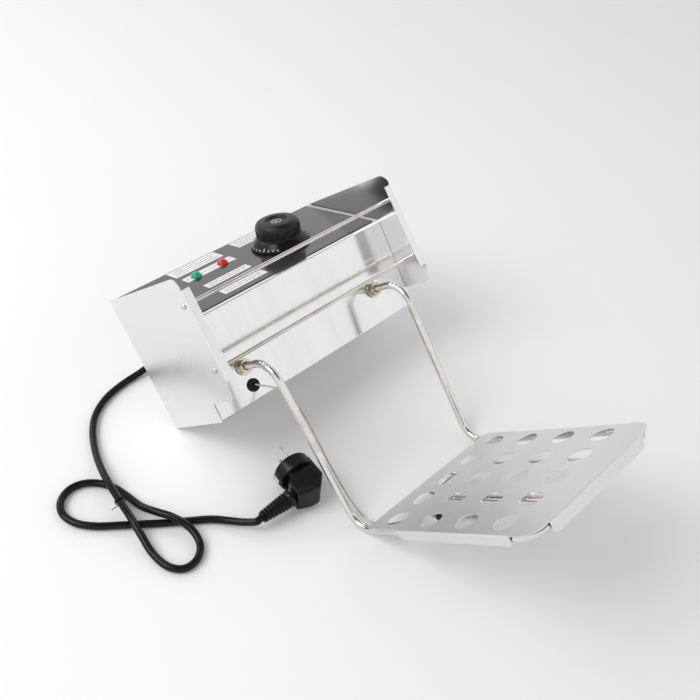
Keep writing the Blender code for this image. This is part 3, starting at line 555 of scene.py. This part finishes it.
def end_cap(name, side):
    """A side plate whose ear reaches forward and turns inwards in a narrow flange."""
    fold = 0.0018
    low, high = EAR_BOTTOM + 0.001, EAR_TOP - EAR_RADIUS
    fold_y = -EAR_DEPTH + fold
    outline = [(0, 0), (0, HEIGHT_BACK)]
    outline += arc((-EAR_DEPTH + EAR_RADIUS, EAR_TOP - EAR_RADIUS + 0.0006), EAR_RADIUS, 90, 172, 12)
    outline += [(fold_y, high), (fold_y, low)]
    outline += arc((-EAR_DEPTH + 0.0045, EAR_BOTTOM), 0.0045, 190, 235, 5)
    outline += arc((-EAR_DEPTH + 0.0145, EAR_BOTTOM + 0.0115), 0.0295, 252, 283, 10)
    outline += [(-DEPTH_BOTTOM, EAR_NOTCH), (-DEPTH_BOTTOM, 0)]
    holes = [circle(spot, ROD_SCREW_HOLE, 24) for spot in RODS.values()]
    cap = flat(name, [outline] + holes)
    to_side = Matrix(((0, 0, 1, side * WIDTH / 2), (1, 0, 0, 0), (0, 1, 0, 0), (0, 0, 0, 1)))
    cap.data.transform(to_side)
    centre = (side * (WIDTH / 2 - fold), fold_y)
    turn = arc(centre, fold, 0, -90, 6) if side > 0 else arc(centre, fold, 180, 270, 6)
    edge = [(x, y, low) for x, y in turn] + [(side * (WIDTH / 2 - CAP_FLANGE), -EAR_DEPTH, low)]
    cap = join(cap, ribbon(name + "_flange", edge, (0, 0, high - low)))
    face_out(cap, (side, 0, 0))
    wall(cap, SHEET)
    soften(cap, 0.00018, 2, 50)
    hand, material = ("left", SIDE) if side < 0 else ("right", POLISHED)
    done(cap, LAID, material, "head", ["end_cap_" + hand])


def screw_head(name):
    """A pan head with a cross recess on a short shank."""
    profile = [(0.0, 0.0019), (0.0012, 0.00185), (0.0022, 0.0016), (0.0028, 0.0011), (0.0030, 0.0006),
               (0.0030, GAP), (0.0014, GAP), (0.0014, -0.0035), (0.0, -0.0040)]
    head = spun(name, profile, 32)
    for x, y in ((0.00028, 0.0017), (0.0017, 0.00028)):
        cut(head, block("slot", (-x, -y, 0.0009), (x, y, 0.003)))
    return head


def screws():
    """The screws at the rod ends and on the rear cover."""
    pattern = screw_head("screw_pattern")
    spots = []
    for row, (y, z) in RODS.items():
        for label, side in (("left", -1), ("right", 1)):
            spots.append((f"{row}_rod_screw_{label}", Vector((side * WIDTH / 2, y, z)), (side, 0, 0)))
    for number, (x, z) in enumerate(COVER_SCREWS, 1):
        spots.append((f"cover_screw_{number}", Vector((x, 0, z)), (0, 1, 0)))
    for node, spot, outward in spots:
        twin = copy_of(pattern, node + "_crossed")
        done(twin, LAID @ along(spot, outward), NICKEL, "head", [node])
    bpy.data.objects.remove(pattern, do_unlink=True)


def rods():
    """The two round rods between the ears."""
    half = WIDTH / 2 - SHEET - 2 * GAP
    r, e = ROD_RADIUS, 0.0004
    profile = [(0, -half), (r - e, -half), (r, -half + e), (r, half - e), (r - e, half), (0, half)]
    for row, (y, z) in RODS.items():
        bar = spun(row + "_round_bar", profile, 32)
        done(bar, LAID @ along((0, y, z), (1, 0, 0)), NICKEL, "head", [row + "_rod"])


# ---------------------------------------------------------------- controls
def print_rows(name, left, right):
    """The ends of the printed bars in one row of a label, for even and odd rows."""
    if name == "lamps":
        margin, clear = 0.002, 0.007
        bars = [(left + margin, LAMPS["green"] - clear), (LAMPS["green"] + clear, LAMPS["red"] - clear),
                (LAMPS["red"] + clear, right - margin)]
        return bars, bars
    margin = 0.003
    span = right - left - 2 * margin
    shares = (((0, 0.30), (0.34, 0.62), (0.66, 1.0)), ((0, 0.44), (0.48, 0.80), (0.84, 0.93)))
    return [[(left + margin + span * a, left + margin + span * b) for a, b in row] for row in shares]


def overlay():
    """The dark film on the panel with its blank labels, greyed with bars in place of print."""
    low, high = (-WIDTH / 2 + 0.0045, -PANEL_LENGTH + 0.0055), (WIDTH / 2 - 0.0045, -0.003)
    holes = [circle((KNOB_X, -KNOB_S), SHAFT_HOLE)]
    holes += [circle((x, -LAMP_S), LAMP_HOLE) for x in LAMPS.values()]
    film = flat("overlay_film_sheet", [slab(low, high, 0.0015)] + holes, OVERLAY_T)
    place = PANEL @ Matrix.Translation((0, 0, GAP + OVERLAY_T / 2))
    done(film, LAID @ place, OVERLAY, "head", ["panel_overlay"])

    label_sheet, ink_sheet, shortest = 0.00012, 0.00006, 0.0015
    labels = {"upper_left": (-0.069, -0.008, 0.0045, 0.0240, 3), "lamps": (-0.069, -0.007, 0.0315, 0.0445, 1),
              "upper_right": (0.014, 0.066, 0.0045, 0.0243, 3), "middle": (-0.0665, -0.012, 0.0650, 0.0760, 2),
              "lower": (-0.0670, -0.0134, 0.0910, 0.1030, 2)}
    pieces, inks = [], []
    for name, (left, right, upper, lower, rows) in labels.items():
        holes = [circle((x, -LAMP_S), 0.0052) for x in LAMPS.values()] if name == "lamps" else []
        outline = slab((left, -lower), (right, -upper), 0.0006)
        pieces.append(flat("label_" + name, [outline] + holes, label_sheet))
        half = 0.0005 if name == "lamps" else 0.00075
        bars = print_rows(name, left, right)
        for row in range(rows):
            s = upper + (lower - upper) * (row + 1) / (rows + 1)
            for a, b in bars[row % 2]:
                if b - a > shortest:
                    inks.append(flat("print_bar", [slab((a, -s - half), (b, -s + half), 0.0002, 1)], ink_sheet))
    top = GAP + OVERLAY_T + 0.00006
    sheet = join(*pieces)
    sheet.name = "blank_labels"
    done(sheet, LAID @ PANEL @ Matrix.Translation((0, 0, top)), PRINT, "head", ())
    bars = join(*inks)
    bars.name = "label_print_bars"
    done(bars, LAID @ PANEL @ Matrix.Translation((0, 0, top + 0.00008)), INK, "head", ())


def lamps():
    """Domed lamp lenses in thin collars."""
    base = OVERLAY_T + 2 * GAP
    for colour, x in LAMPS.items():
        lens = spun(colour + "_domed_lens", [
            (0, base + 0.0046), (0.0014, base + 0.00452), (0.0028, base + 0.0042), (0.0040, base + 0.0034),
            (0.0048, base + 0.0022), (0.0052, base + 0.0011), (0.0058, base + 0.0009), (0.0058, base),
            (0.0040, base), (0.0040, -0.0200), (0, -0.0200)], 48)
        # The lenses' finishes add a faint painted glow.
        material = {"green": GREEN, "red": RED}[colour]
        done(lens, LAID @ on_panel(x, LAMP_S), material, "head", [colour + "_lamp"])


def knob():
    """Fluted grip with a dished top on a conical skirt with dial marks."""
    place = LAID @ on_panel(KNOB_X, KNOB_S, OVERLAY_T + 2 * GAP)
    lift, bore, grip, skirt_top, flutes = 0.0008, 0.0033, KNOB_GRIP, 0.0095, 12
    dish = KNOB_H - 0.0022
    body = spun("fluted_knob", [
        (0, dish), (0.0095, dish), (0.0112, KNOB_H - 0.0016), (0.0120, KNOB_H - 0.0002),
        (0.0130, KNOB_H), (0.0185, KNOB_H - 0.0004), (0.0212, KNOB_H - 0.0016), (0.0230, KNOB_H - 0.0040),
        (grip, KNOB_H - 0.0075), (grip, skirt_top + 0.0030), (grip - 0.0006, skirt_top + 0.0014),
        (grip - 0.0002, skirt_top + 0.0004), (grip + 0.0016, skirt_top - 0.0005), (0.0298, 0.0042),
        (KNOB_SKIRT - 0.0004, lift + 0.0022), (KNOB_SKIRT, lift + 0.0012), (KNOB_SKIRT, lift),
        (KNOB_SKIRT - 0.0020, lift), (grip - 0.0020, 0.0070), (0.0070, 0.0070), (0.0060, lift), (bore, lift),
        (bore, 0.0160), (0, 0.0160)], 120)
    scoops = []
    for i in range(flutes):
        turn = (Matrix.Rotation(math.tau * (i + 0.5) / flutes, 4, "Z")
                @ Matrix.Translation((grip + 0.0036, 0, 0)))
        scoops.append(cylinder("scoop", turn, 0.0050, skirt_top + 0.0012, KNOB_H - 0.0070, 32))
    pick(*scoops)
    bpy.ops.object.join()
    cut(body, scoops[0])
    body.data.materials.clear()
    for material in (GRIP, BAKELITE):
        body.data.materials.append(material)
    for face in body.data.polygons:
        face.material_index = 0 if face.center.z > skirt_top + 0.0006 else 1
    done(body, place, None, "dial", ["knob"], 30)

    ring = spun("knob_cap_ring", [(0.0052, 0.00012), (0.0052, 0.0), (0.0044, 0.0), (0.0044, 0.00012),
                                  (0.0052, 0.00012)], 48)
    upright = block("cap_bar", (-0.0004, -0.0026, 0), (0.0004, 0.0026, 0.00012))
    level = block("cap_bar", (-0.0020, -0.0004, 0), (0.0020, 0.0004, 0.00012))
    ring = join(ring, upright, level)
    done(ring, place @ Matrix.Translation((0, 0, dish + 0.00002)), MARKS, "dial", ())

    count, sweep, first = 28, 270, -45
    fall = math.atan2(skirt_top - 0.0005 - lift - 0.0022, KNOB_SKIRT - 0.0004 - grip - 0.0016)
    lean = Matrix.Translation((0.0310, 0, 0.00345)) @ Matrix.Rotation(fall, 4, "Y")
    ticks = []
    for i in range(count):
        length = 0.0034 if i % 4 == 0 else 0.0018
        tick = block("tick", (-length, -0.00040, -0.00005), (0, 0.00040, 0.00010))
        turn = math.radians(first + sweep * i / (count - 1))
        tick.data.transform(Matrix.Rotation(turn, 4, "Z") @ lean)
        ticks.append(tick)
    marks = join(*ticks)
    marks.name = "dial_ticks"
    done(marks, place, MARKS, "dial", ())


def reset_button():
    """The red button of the thermal cut-out."""
    x, z = BUTTON_PLACE
    place = LAID @ along((x, -SHEET - GAP - 0.0007, z), (0, 1, 0))
    button = spun("rounded_reset_button", [
        (0, 0.0075), (0.0022, 0.0074), (0.0031, 0.0070), (0.0036, 0.0062), (0.0036, 0.0), (0, 0.0)], 40)
    # The button takes the red lens finish, so it shows a faint painted glow.
    done(button, place, RED, "reset", ["reset_button"])


# ---------------------------------------------------------------- heater and guard
def heater():
    """The M-shaped sheathed heater with its washers and chamfered nuts."""
    start = on_front(-EXIT_X, EXIT_Z) - FRONT_NORMAL * 0.012
    start.z = EXIT_Z
    path = [start, (-EXIT_X, LEG_Y, EXIT_Z), (-RUN_X, LEG_Y, RUN_Z), (-RUN_X, RUN_FRONT, RUN_Z),
            (-INNER_X, RUN_FRONT, RUN_Z), (-INNER_X, RUN_REAR, RUN_Z)]
    path = [Vector(p) for p in path]
    path += [Vector((-p.x, p.y, p.z)) for p in reversed(path)]
    radii = [LEG_BEND, FOOT_BEND, CORNER_BEND, CORNER_BEND, CORNER_BEND]
    line = [path[0]]
    for before, corner, after, radius in zip(path, path[1:], path[2:], radii + radii[::-1]):
        line += rounded([before, corner, after], radius, 14)[1:-1]
    line.append(path[-1])
    sheath = to_mesh(tube("bent_heater_sheath", line, TUBE_RADIUS, 7))
    done(sheath, LAID, HEATER, "head", ["heater_tube"], 50)

    fit = TUBE_RADIUS + GAP
    washer = spun("washer_pattern", [(0.0085, 0.0011), (0.0085, 0.0017), (0.0083, 0.0019), (fit, 0.0019),
                                     (fit, 0.0009), (0.0083, 0.0009), (0.0085, 0.0011)], 48)
    nut = hex_nut("nut_pattern", 0.0072, 0.0050, fit)
    inner_nut = hex_nut("inner_nut_pattern", 0.0072, 0.0040, fit)
    out, nut_stand, inner_stand = Vector((0, -1, 0)), 0.0022, -0.0058
    for side, x, degrees in (("left", -EXIT_X, 11), ("right", EXIT_X, 24)):
        face = on_front(x, EXIT_Z)
        turn = Matrix.Rotation(math.radians(degrees), 4, "Z")
        done(copy_of(washer, "pressed_washer_" + side), LAID @ along(face, out), BRASS,
             "head", ["heater_washer_" + side])
        done(copy_of(nut, "chamfered_nut_" + side), LAID @ along(face + out * nut_stand, out) @ turn,
             BRASS, "head", ["heater_nut_" + side])
        done(copy_of(inner_nut, "chamfered_inner_nut_" + side), LAID @ along(face + out * inner_stand, out),
             BRASS, "head", ["heater_inner_nut_" + side])
    for pattern in (washer, nut, inner_nut):
        bpy.data.objects.remove(pattern, do_unlink=True)


def hex_nut(name, radius, height, bore):
    """A six-sided nut with turned chamfers and a countersunk bore."""
    deselect()
    bpy.ops.mesh.primitive_cylinder_add(vertices=6, radius=radius, depth=height, location=(0, 0, height / 2))
    nut = bpy.context.object
    nut.name = name
    pick(nut)
    bpy.ops.object.transform_apply(location=True, rotation=True, scale=True)
    inset, wide = radius * 0.13, radius + 0.0001
    rise = inset * 0.62
    rim = spun("chamfer", [(0, 0), (radius - inset, 0), (wide, rise), (wide, height - rise),
                           (radius - inset, height), (0, height)], 48)
    cut(nut, rim, "INTERSECT")
    drill = spun("bore", [(0, -0.001), (bore + 0.0013, -0.001), (bore + 0.0005, 0.0), (bore, 0.0005),
                          (bore, height - 0.0005), (bore + 0.0005, height), (bore + 0.0013, height + 0.001),
                          (0, height + 0.001)], 48)
    cut(nut, drill)
    return nut


def guard_plate():
    """The perforated plate; its sides and front are folded down round the heater."""
    fold, half, corner, rear = 0.0016, GUARD_HALF, 0.018, 0.006
    back, front = -0.2160, -0.3540
    side_low, drop, front_half = 0.0098, 0.0125, 0.0665
    fold_y = GUARD_FRONT + fold
    outline = arc((half - rear, GUARD_REAR - rear), rear, 0, 90, 6)
    outline += arc((-half + rear, GUARD_REAR - rear), rear, 90, 180, 6)
    outline += [(-half, back), (-half + fold, back), (-half + fold, front), (-half, front)]
    outline += arc((-half + corner, GUARD_FRONT + corner), corner, 184, 262, 12)
    outline += [(-front_half, GUARD_FRONT), (-front_half, fold_y),
                (front_half, fold_y), (front_half, GUARD_FRONT)]
    outline += arc((half - corner, GUARD_FRONT + corner), corner, 278, 356, 12)
    outline += [(half, front), (half - fold, front), (half - fold, back), (half, back)]
    first_x, first_y, pitch_x, pitch_y, hole = -0.0712, -0.1996, 0.0353, 0.0454, 0.0110
    holes = [circle((first_x + i * pitch_x, first_y - j * pitch_y), hole, 56)
             for i in range(5) for j in range(4)]
    plate = flat("perforated_guard", [outline] + holes)
    plate.data.transform(Matrix.Translation((0, 0, GUARD_TOP)))
    parts = [plate]
    for side in (-1, 1):
        turn = arc((half - fold, GUARD_TOP - fold), fold, 90, 0, 6)
        parts.append(ribbon("side_fold", [(side * x, front, z) for x, z in turn], (0, back - front, 0)))
        low = GUARD_TOP - side_low
        r = 0.003
        shape = [(front, GUARD_TOP - fold), (front, low + r)] + arc((front + r, low + r), r, 180, 270, 4)[1:]
        shape += arc((back - r, low + r), r, 270, 360, 4)[:-1] + [(back, low + r), (back, GUARD_TOP - fold)]
        flange = flat("side_flange", [shape])
        flange.data.transform(Matrix(((0, 0, 1, side * half), (1, 0, 0, 0), (0, 1, 0, 0), (0, 0, 0, 1))))
        parts.append(flange)
    turn = arc((fold_y, GUARD_TOP - fold), fold, 90, 180, 6)
    parts.append(ribbon("front_fold", [(-front_half, y, z) for y, z in turn], (2 * front_half, 0, 0)))
    tip, low = 0.006, GUARD_TOP - drop
    shape = [(-front_half, GUARD_TOP - fold), (-front_half, low + tip)]
    shape += arc((-front_half + tip, low + tip), tip, 180, 270, 6)[1:]
    shape += arc((front_half - tip, low + tip), tip, 270, 360, 6)[:-1]
    shape += [(front_half, low + tip), (front_half, GUARD_TOP - fold)]
    flange = flat("front_flange", [shape])
    flange.data.transform(Matrix(((1, 0, 0, 0), (0, 0, 1, GUARD_FRONT), (0, 1, 0, 0), (0, 0, 0, 1))))
    parts.append(flange)
    plate = join(*parts)
    face_out(plate, (0, 0, 1))
    wall(plate, GUARD_SHEET)
    soften(plate, 0.00012, 1, 50)
    done(plate, LAID, SATIN, "head", ["guard_plate"], 30)


def sensing():
    """Split grommet, capillary tube, sensing bulb and its spring clip."""
    spot = on_front(GROMMET_X, GROMMET_Z)
    bore = 0.0018
    ring = spun("split_grommet", [
        (bore, 0.0022), (0.0024, 0.0028), (0.0052, 0.0028), (0.0062, 0.0022), (0.0066, 0.0012),
        (0.0066, 0.0004),
        (0.0042, 0.0004), (0.0042, -0.0016), (0.0052, -0.0022), (0.0046, -0.0043), (bore, -0.0043),
        (bore, 0.0022)], 48)
    cut(ring, block("split", (0.0010, -0.00035, 0.0006), (0.0080, 0.00035, 0.0040)))
    turn = Matrix.Rotation(math.radians(20), 4, "Z")
    done(ring, LAID @ along(spot, FRONT_NORMAL) @ turn, RUBBER, "head", ["grommet"])

    bulb_x, bulb_z, bulb_rear, bulb_length = -0.0560, RUN_Z - 0.0008, -0.2300, 0.085
    leg_x = -RUN_X + 0.0075
    route = [spot + FRONT_NORMAL * d for d in (-0.016, -0.010, -0.005, 0.0, 0.004, 0.008)]
    route += [(-0.0760, LEG_Y + 0.022, -0.002), (-0.0800, LEG_Y + 0.0035, -0.030),
              (-0.0785, LEG_Y + 0.004, -0.080), (leg_x, LEG_Y + 0.0025, -0.118),
              (leg_x + 0.001, LEG_Y - 0.008, -0.1420), (leg_x + 0.004, LEG_Y - 0.030, bulb_z),
              (bulb_x - 0.008, -0.205, bulb_z), (bulb_x, bulb_rear + 0.010, bulb_z),
              (bulb_x, bulb_rear + GAP, bulb_z)]
    line = to_mesh(tube("thin_capillary", smooth(route, 8), 0.0008, 3))
    done(line, LAID, COPPER, "head", ["capillary"], 50)
    end = bulb_length
    bulb = spun("capped_bulb", [
        (0, end), (0.0012, end - 0.0002), (0.0022, end - 0.0010), (0.0028, end - 0.0022),
        (0.0030, end - 0.0038),
        (0.0030, 0.0052), (0.0024, 0.0038), (0.0017, 0.0026), (0.0014, 0.0), (0, 0)], 40)
    done(bulb, LAID @ along((bulb_x, bulb_rear, bulb_z), (0, -1, 0)), COPPER, "head", ["bulb"])
    clip = spun("spring_clip", [(0.0043, 0.0118), (0.0043, 0.0002), (0.0041, 0), (0.0033, 0), (0.0033, 0.012),
                                (0.0041, 0.012), (0.0043, 0.0118)], 40)
    done(clip, LAID @ along((bulb_x, bulb_rear - 0.008, bulb_z), (0, -1, 0)), BAKELITE, "head",
         ["bulb_clip"])


# ---------------------------------------------------------------- cord and plug
PLUG = (Matrix.Translation((-0.0942, -0.1247 - MIDDLE, 0.0182))
        @ Matrix.Rotation(math.radians(-10.0), 4, "Z"))
PLUG_RADIUS = 0.0190


def plug():
    """Angled earthed plug with rounded body, finger grip, pins and earth springs."""
    disc = spun("moulded_plug", [
        (0, 0), (0.0172, 0), (0.0184, 0.0004), (PLUG_RADIUS, 0.0014), (PLUG_RADIUS, 0.0118), (0.0186, 0.0132),
        (0.0176, 0.0140), (0, 0.0140)], 96)
    disc.data.transform(along((0, 0, 0), (0, -1, 0)))
    back_shape = [(0.0165, -0.006), (0.0165, -0.030), (0.0060, -0.0430), (-0.0060, -0.0430),
                  (-0.0172, -0.0395), (-0.0172, -0.0225), (-0.0120, -0.0175), (-0.0120, -0.006)]
    back = flat("plug_back", [back_shape], 0.0250)
    soften(back, 0.0022, 4)
    cut(disc, back, "UNION")
    for side in (1, -1):
        low = 0.0180 if side > 0 else -0.0240
        cut(disc, block("shave", (-0.03, -0.05, low), (0.03, 0.01, low + 0.006)))
        for i in range(4):
            y = -0.0215 - i * 0.0036
            z = side * 0.0125
            cut(disc, block("groove", (-0.0080, y - 0.0006, z - 0.0006), (0.0100, y + 0.0006, z + 0.0006)))
        x = side * PLUG_RADIUS
        cut(disc, block("earth_channel", (x - 0.0012, -0.0125, -0.0042), (x + 0.0012, 0.0005, 0.0042)))
    done(disc, PLUG, BAKELITE, "head", ["plug_body"], 30)

    shaft = [(0, 0.0190), (0.0008, 0.0189), (0.0016, 0.0184), (0.0022, 0.0174), (0.0024, 0.0162), (0.0024, GAP),
             (0, GAP)]
    for name, height in (("upper", 0.0095), ("lower", -0.0095)):
        pin = spun("rounded_pin_" + name, shaft, 32)
        done(pin, PLUG @ along((0, 0, height), (0, 1, 0)), NICKEL, "head", ["plug_pin_" + name])
    for name, side in (("outer", 1), ("inner", -1)):
        x = side * (PLUG_RADIUS + 0.0006)
        spring = block("earth_spring_" + name, (min(x, x + side * 0.0008), -0.0110, -0.0035),
                       (max(x, x + side * 0.0008), -0.0010, 0.0035), 0.0003)
        done(spring, PLUG, NICKEL, "head", ["earth_clip_" + name])


def cord():
    """Bushing, flexible cord, its wire tie and the ribbed boot."""
    exit_point = Vector((CORD_EXIT[0], 0, CORD_EXIT[1]))
    sleeve = CORD_RADIUS + GAP
    profile = [(sleeve, -0.006), (0.0062, -0.006), (0.0062, GAP), (0.0095, GAP), (0.0095, 0.0028),
               (0.0090, 0.0033)]
    ridges = 6
    for i in range(ridges):
        z = 0.0040 + i * 0.0032
        r = 0.0080 - i * 0.00033
        profile += [(r, z), (r, z + 0.0018), (r - 0.0009, z + 0.0021), (r - 0.0009, z + 0.0029)]
    profile += [(0.0058, BUSHING_LENGTH - 0.0004), (0.0054, BUSHING_LENGTH), (sleeve, BUSHING_LENGTH),
                (sleeve, -0.006)]
    bushing = spun("ribbed_bushing", profile, 40)
    done(bushing, LAID @ along(exit_point, (0, 1, 0)), RUBBER, "head", ["cord_bushing"])

    start = LAID @ (exit_point + Vector((0, -0.004, 0)))
    leave = LAID @ (exit_point + Vector((0, BUSHING_LENGTH, 0)))
    lying = [(-0.0765, 0.0730, 0.0270), (-0.0860, 0.0815, 0.0160), (-0.1010, 0.0845, 0.0090),
             (-0.1190, 0.0850, 0.0050), (-0.1400, 0.0840, 0.0039), (-0.1635, 0.0785, 0.0039),
             (-0.1850, 0.0665, 0.0039), (-0.2010, 0.0490, 0.0039), (-0.2145, 0.0250, 0.0050),
             (-0.2250, -0.0010, 0.0095), (-0.2310, -0.0230, 0.0117), (-0.2355, -0.0460, 0.0117),
             (-0.2395, -0.0690, 0.0117), (-0.2430, -0.0890, 0.0085), (-0.2455, -0.1080, 0.0045),
             (-0.2440, -0.1270, 0.0039), (-0.2350, -0.1390, 0.0039), (-0.2210, -0.1395, 0.0039),
             (-0.2085, -0.1290, 0.0045), (-0.2055, -0.1120, 0.0085), (-0.2105, -0.0940, 0.0117),
             (-0.2180, -0.0770, 0.0105), (-0.2225, -0.0600, 0.0060), (-0.2240, -0.0420, 0.0040),
             (-0.2270, -0.0250, 0.0039), (-0.2350, -0.0100, 0.0039), (-0.2470, -0.0005, 0.0039),
             (-0.2610, 0.0010, 0.0039), (-0.2735, -0.0060, 0.0039), (-0.2795, -0.0190, 0.0039),
             (-0.2765, -0.0350, 0.0039), (-0.2650, -0.0500, 0.0039), (-0.2480, -0.0640, 0.0039),
             (-0.2310, -0.0775, 0.0039), (-0.2145, -0.0905, 0.0039), (-0.1985, -0.1020, 0.0039),
             (-0.1835, -0.1135, 0.0042), (-0.1730, -0.1265, 0.0055), (-0.1665, -0.1370, 0.0080)]
    shift = Vector((0, -MIDDLE, 0))
    boot_start = PLUG @ Vector((-0.0192, -0.0310, -0.0010))
    boot_end = PLUG @ Vector((-0.0530, -0.0340, -0.0045))
    axis = (boot_end - boot_start).normalized()
    length = (boot_end - boot_start).length
    points = [start, leave] + [Vector(p) + shift for p in lying]
    points += [boot_end + axis * d for d in (0.007, 0.002, -0.003, -0.008)]
    line = smooth(points, 5)
    lead = tube("round_cord", line, CORD_RADIUS, 6)
    lead.data.materials.append(PVC)
    for spline in lead.data.splines:
        spline.use_smooth = True
    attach(lead, "head")
    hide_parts("cord")

    inner = sleeve + GAP
    profile = [(inner, length), (0.0054, length), (0.0056, length - 0.0006)]
    ribs = 8
    pitch = (length - 0.006) / ribs
    for i in range(ribs):
        z = length - 0.0016 - i * pitch
        r = 0.0062 + 0.0021 * i / (ribs - 1)
        root = r - 0.0014
        profile += [(root, z), (r, z - 0.0005), (r, z - pitch + 0.0016), (root, z - pitch + 0.0010)]
    profile += [(0.0086, 0.0030), (0.0086, GAP), (0.0030, GAP), (0.0030, length * 0.70), (inner, length * 0.70),
                (inner, length)]
    boot = spun("ribbed_boot", profile, 48)
    done(boot, along(boot_start, axis), PVC, "head", ["plug_boot"], 40)

    centre = Vector((-0.2355, -0.0460, 0.0117)) + shift
    strand = Vector((-0.182, -0.983, 0)).normalized()
    side = Vector((strand.y, -strand.x, 0))
    r, steps, spacing = CORD_RADIUS + 0.00095, 34, 0.0022
    turns = []
    for i in range(steps):
        a = math.radians(200 + i * 24)
        drift = strand * spacing * (i / (steps - 1) - 0.5)
        turns.append(centre + side * (r * math.cos(a)) + Vector((0, 0, r * math.sin(a))) + drift)
    out = (turns[-1] - turns[-2]).normalized()
    loose_end = ((0.004, 0.0010), (0.009, 0.0004))
    turns += [turns[-1] + out * reach + Vector((0, 0, rise)) for reach, rise in loose_end]
    tie = to_mesh(tube("twisted_wire_tie", smooth(turns, 3), 0.00045, 2))
    done(tie, Matrix.Identity(4), PVC, "head", ["cord_tie"], 60)


# ---------------------------------------------------------------- studio
def studio():
    """Plain pale floor, a soft sky dimmed overhead, two soft lamps, and the camera."""
    deselect()
    bpy.ops.mesh.primitive_plane_add(size=8.0, location=(0, 0, 0))
    floor = bpy.context.object
    floor.name = "pale_floor"
    paper = finish("pale_paper", (0.88, 0.88, 0.885), (0.87, 0.87, 0.875), (0.75, 0.85), 0.0,
                   60, (1, 1, 1), 3, 0.0, 0.0)
    floor.data.materials.append(paper)

    world = bpy.data.worlds.new("soft_studio")
    bpy.context.scene.world = world
    world.use_nodes = True
    nodes, link = world.node_tree.nodes, world.node_tree.links.new
    where = nodes.new("ShaderNodeTexCoord")
    split = nodes.new("ShaderNodeSeparateXYZ")
    link(where.outputs["Generated"], split.inputs[0])
    ramp = nodes.new("ShaderNodeValToRGB")
    ramp.color_ramp.elements[0].position = 0.0
    ramp.color_ramp.elements[0].color = (0.95, 0.94, 0.945, 1)
    ramp.color_ramp.elements[1].position = 0.98
    ramp.color_ramp.elements[1].color = (0.22, 0.22, 0.225, 1)
    for position, value in ((0.45, 1.0), (0.66, 1.0), (0.82, 0.30)):
        ramp.color_ramp.elements.new(position).color = (value, value, value, 1)
    link(split.outputs["Z"], ramp.inputs["Fac"])
    link(ramp.outputs["Color"], nodes["Background"].inputs["Color"])
    nodes["Background"].inputs["Strength"].default_value = 1.0

    lamps_at = (("window", (-1.3, 0.7, 1.7), 24.0, 1.3), ("side", (-0.3, 1.9, 1.2), 5.0, 0.8))
    for name, spot, power, size in lamps_at:
        lamp = bpy.data.lights.new(name, "AREA")
        lamp.energy, lamp.size = power, size
        holder = bpy.data.objects.new(name, lamp)
        bpy.context.scene.collection.objects.link(holder)
        holder.matrix_world = (Matrix.Translation(spot)
                               @ (-Vector(spot)).to_track_quat("-Z", "Y").to_matrix().to_4x4())

    camera = bpy.data.cameras.new("camera")
    camera.lens, camera.sensor_width = 47.60, 36.0
    holder = bpy.data.objects.new("camera", camera)
    bpy.context.scene.collection.objects.link(holder)
    right = Vector((0.69646, -0.71286, 0.08223))
    up = Vector((0.44237, 0.51675, 0.73300))
    back = right.cross(up)
    turn = Matrix((right, up, back)).transposed().to_4x4()
    holder.matrix_world = Matrix.Translation((-0.5088, -0.3890, 0.7086)) @ turn
    bpy.context.scene.camera = holder
    bpy.context.scene.view_settings.view_transform = "Standard"


front_and_panel()
rear_cover()
end_cap("left_side_plate", -1)
end_cap("right_side_plate", 1)
screws()
rods()
overlay()
lamps()
knob()
reset_button()
heater()
guard_plate()
sensing()
plug()
cord()

dress(STEEL, "stainless", "floor_plate", "thermostat_bracket")
dress(NICKEL, "nickel", "thermostat_shaft", "green_lamp_nut", "red_lamp_nut")
dress(CERAMIC, "ceramic", "thermostat_case", "terminal_block", "heater_terminal_left", "heater_terminal_right")
dress(RUBBER, "black_rubber", "thermal_cutout")
dress(SLEEVING, "insulation", "lead_heater_left", "lead_heater_right", "lead_thermostat")

studio()
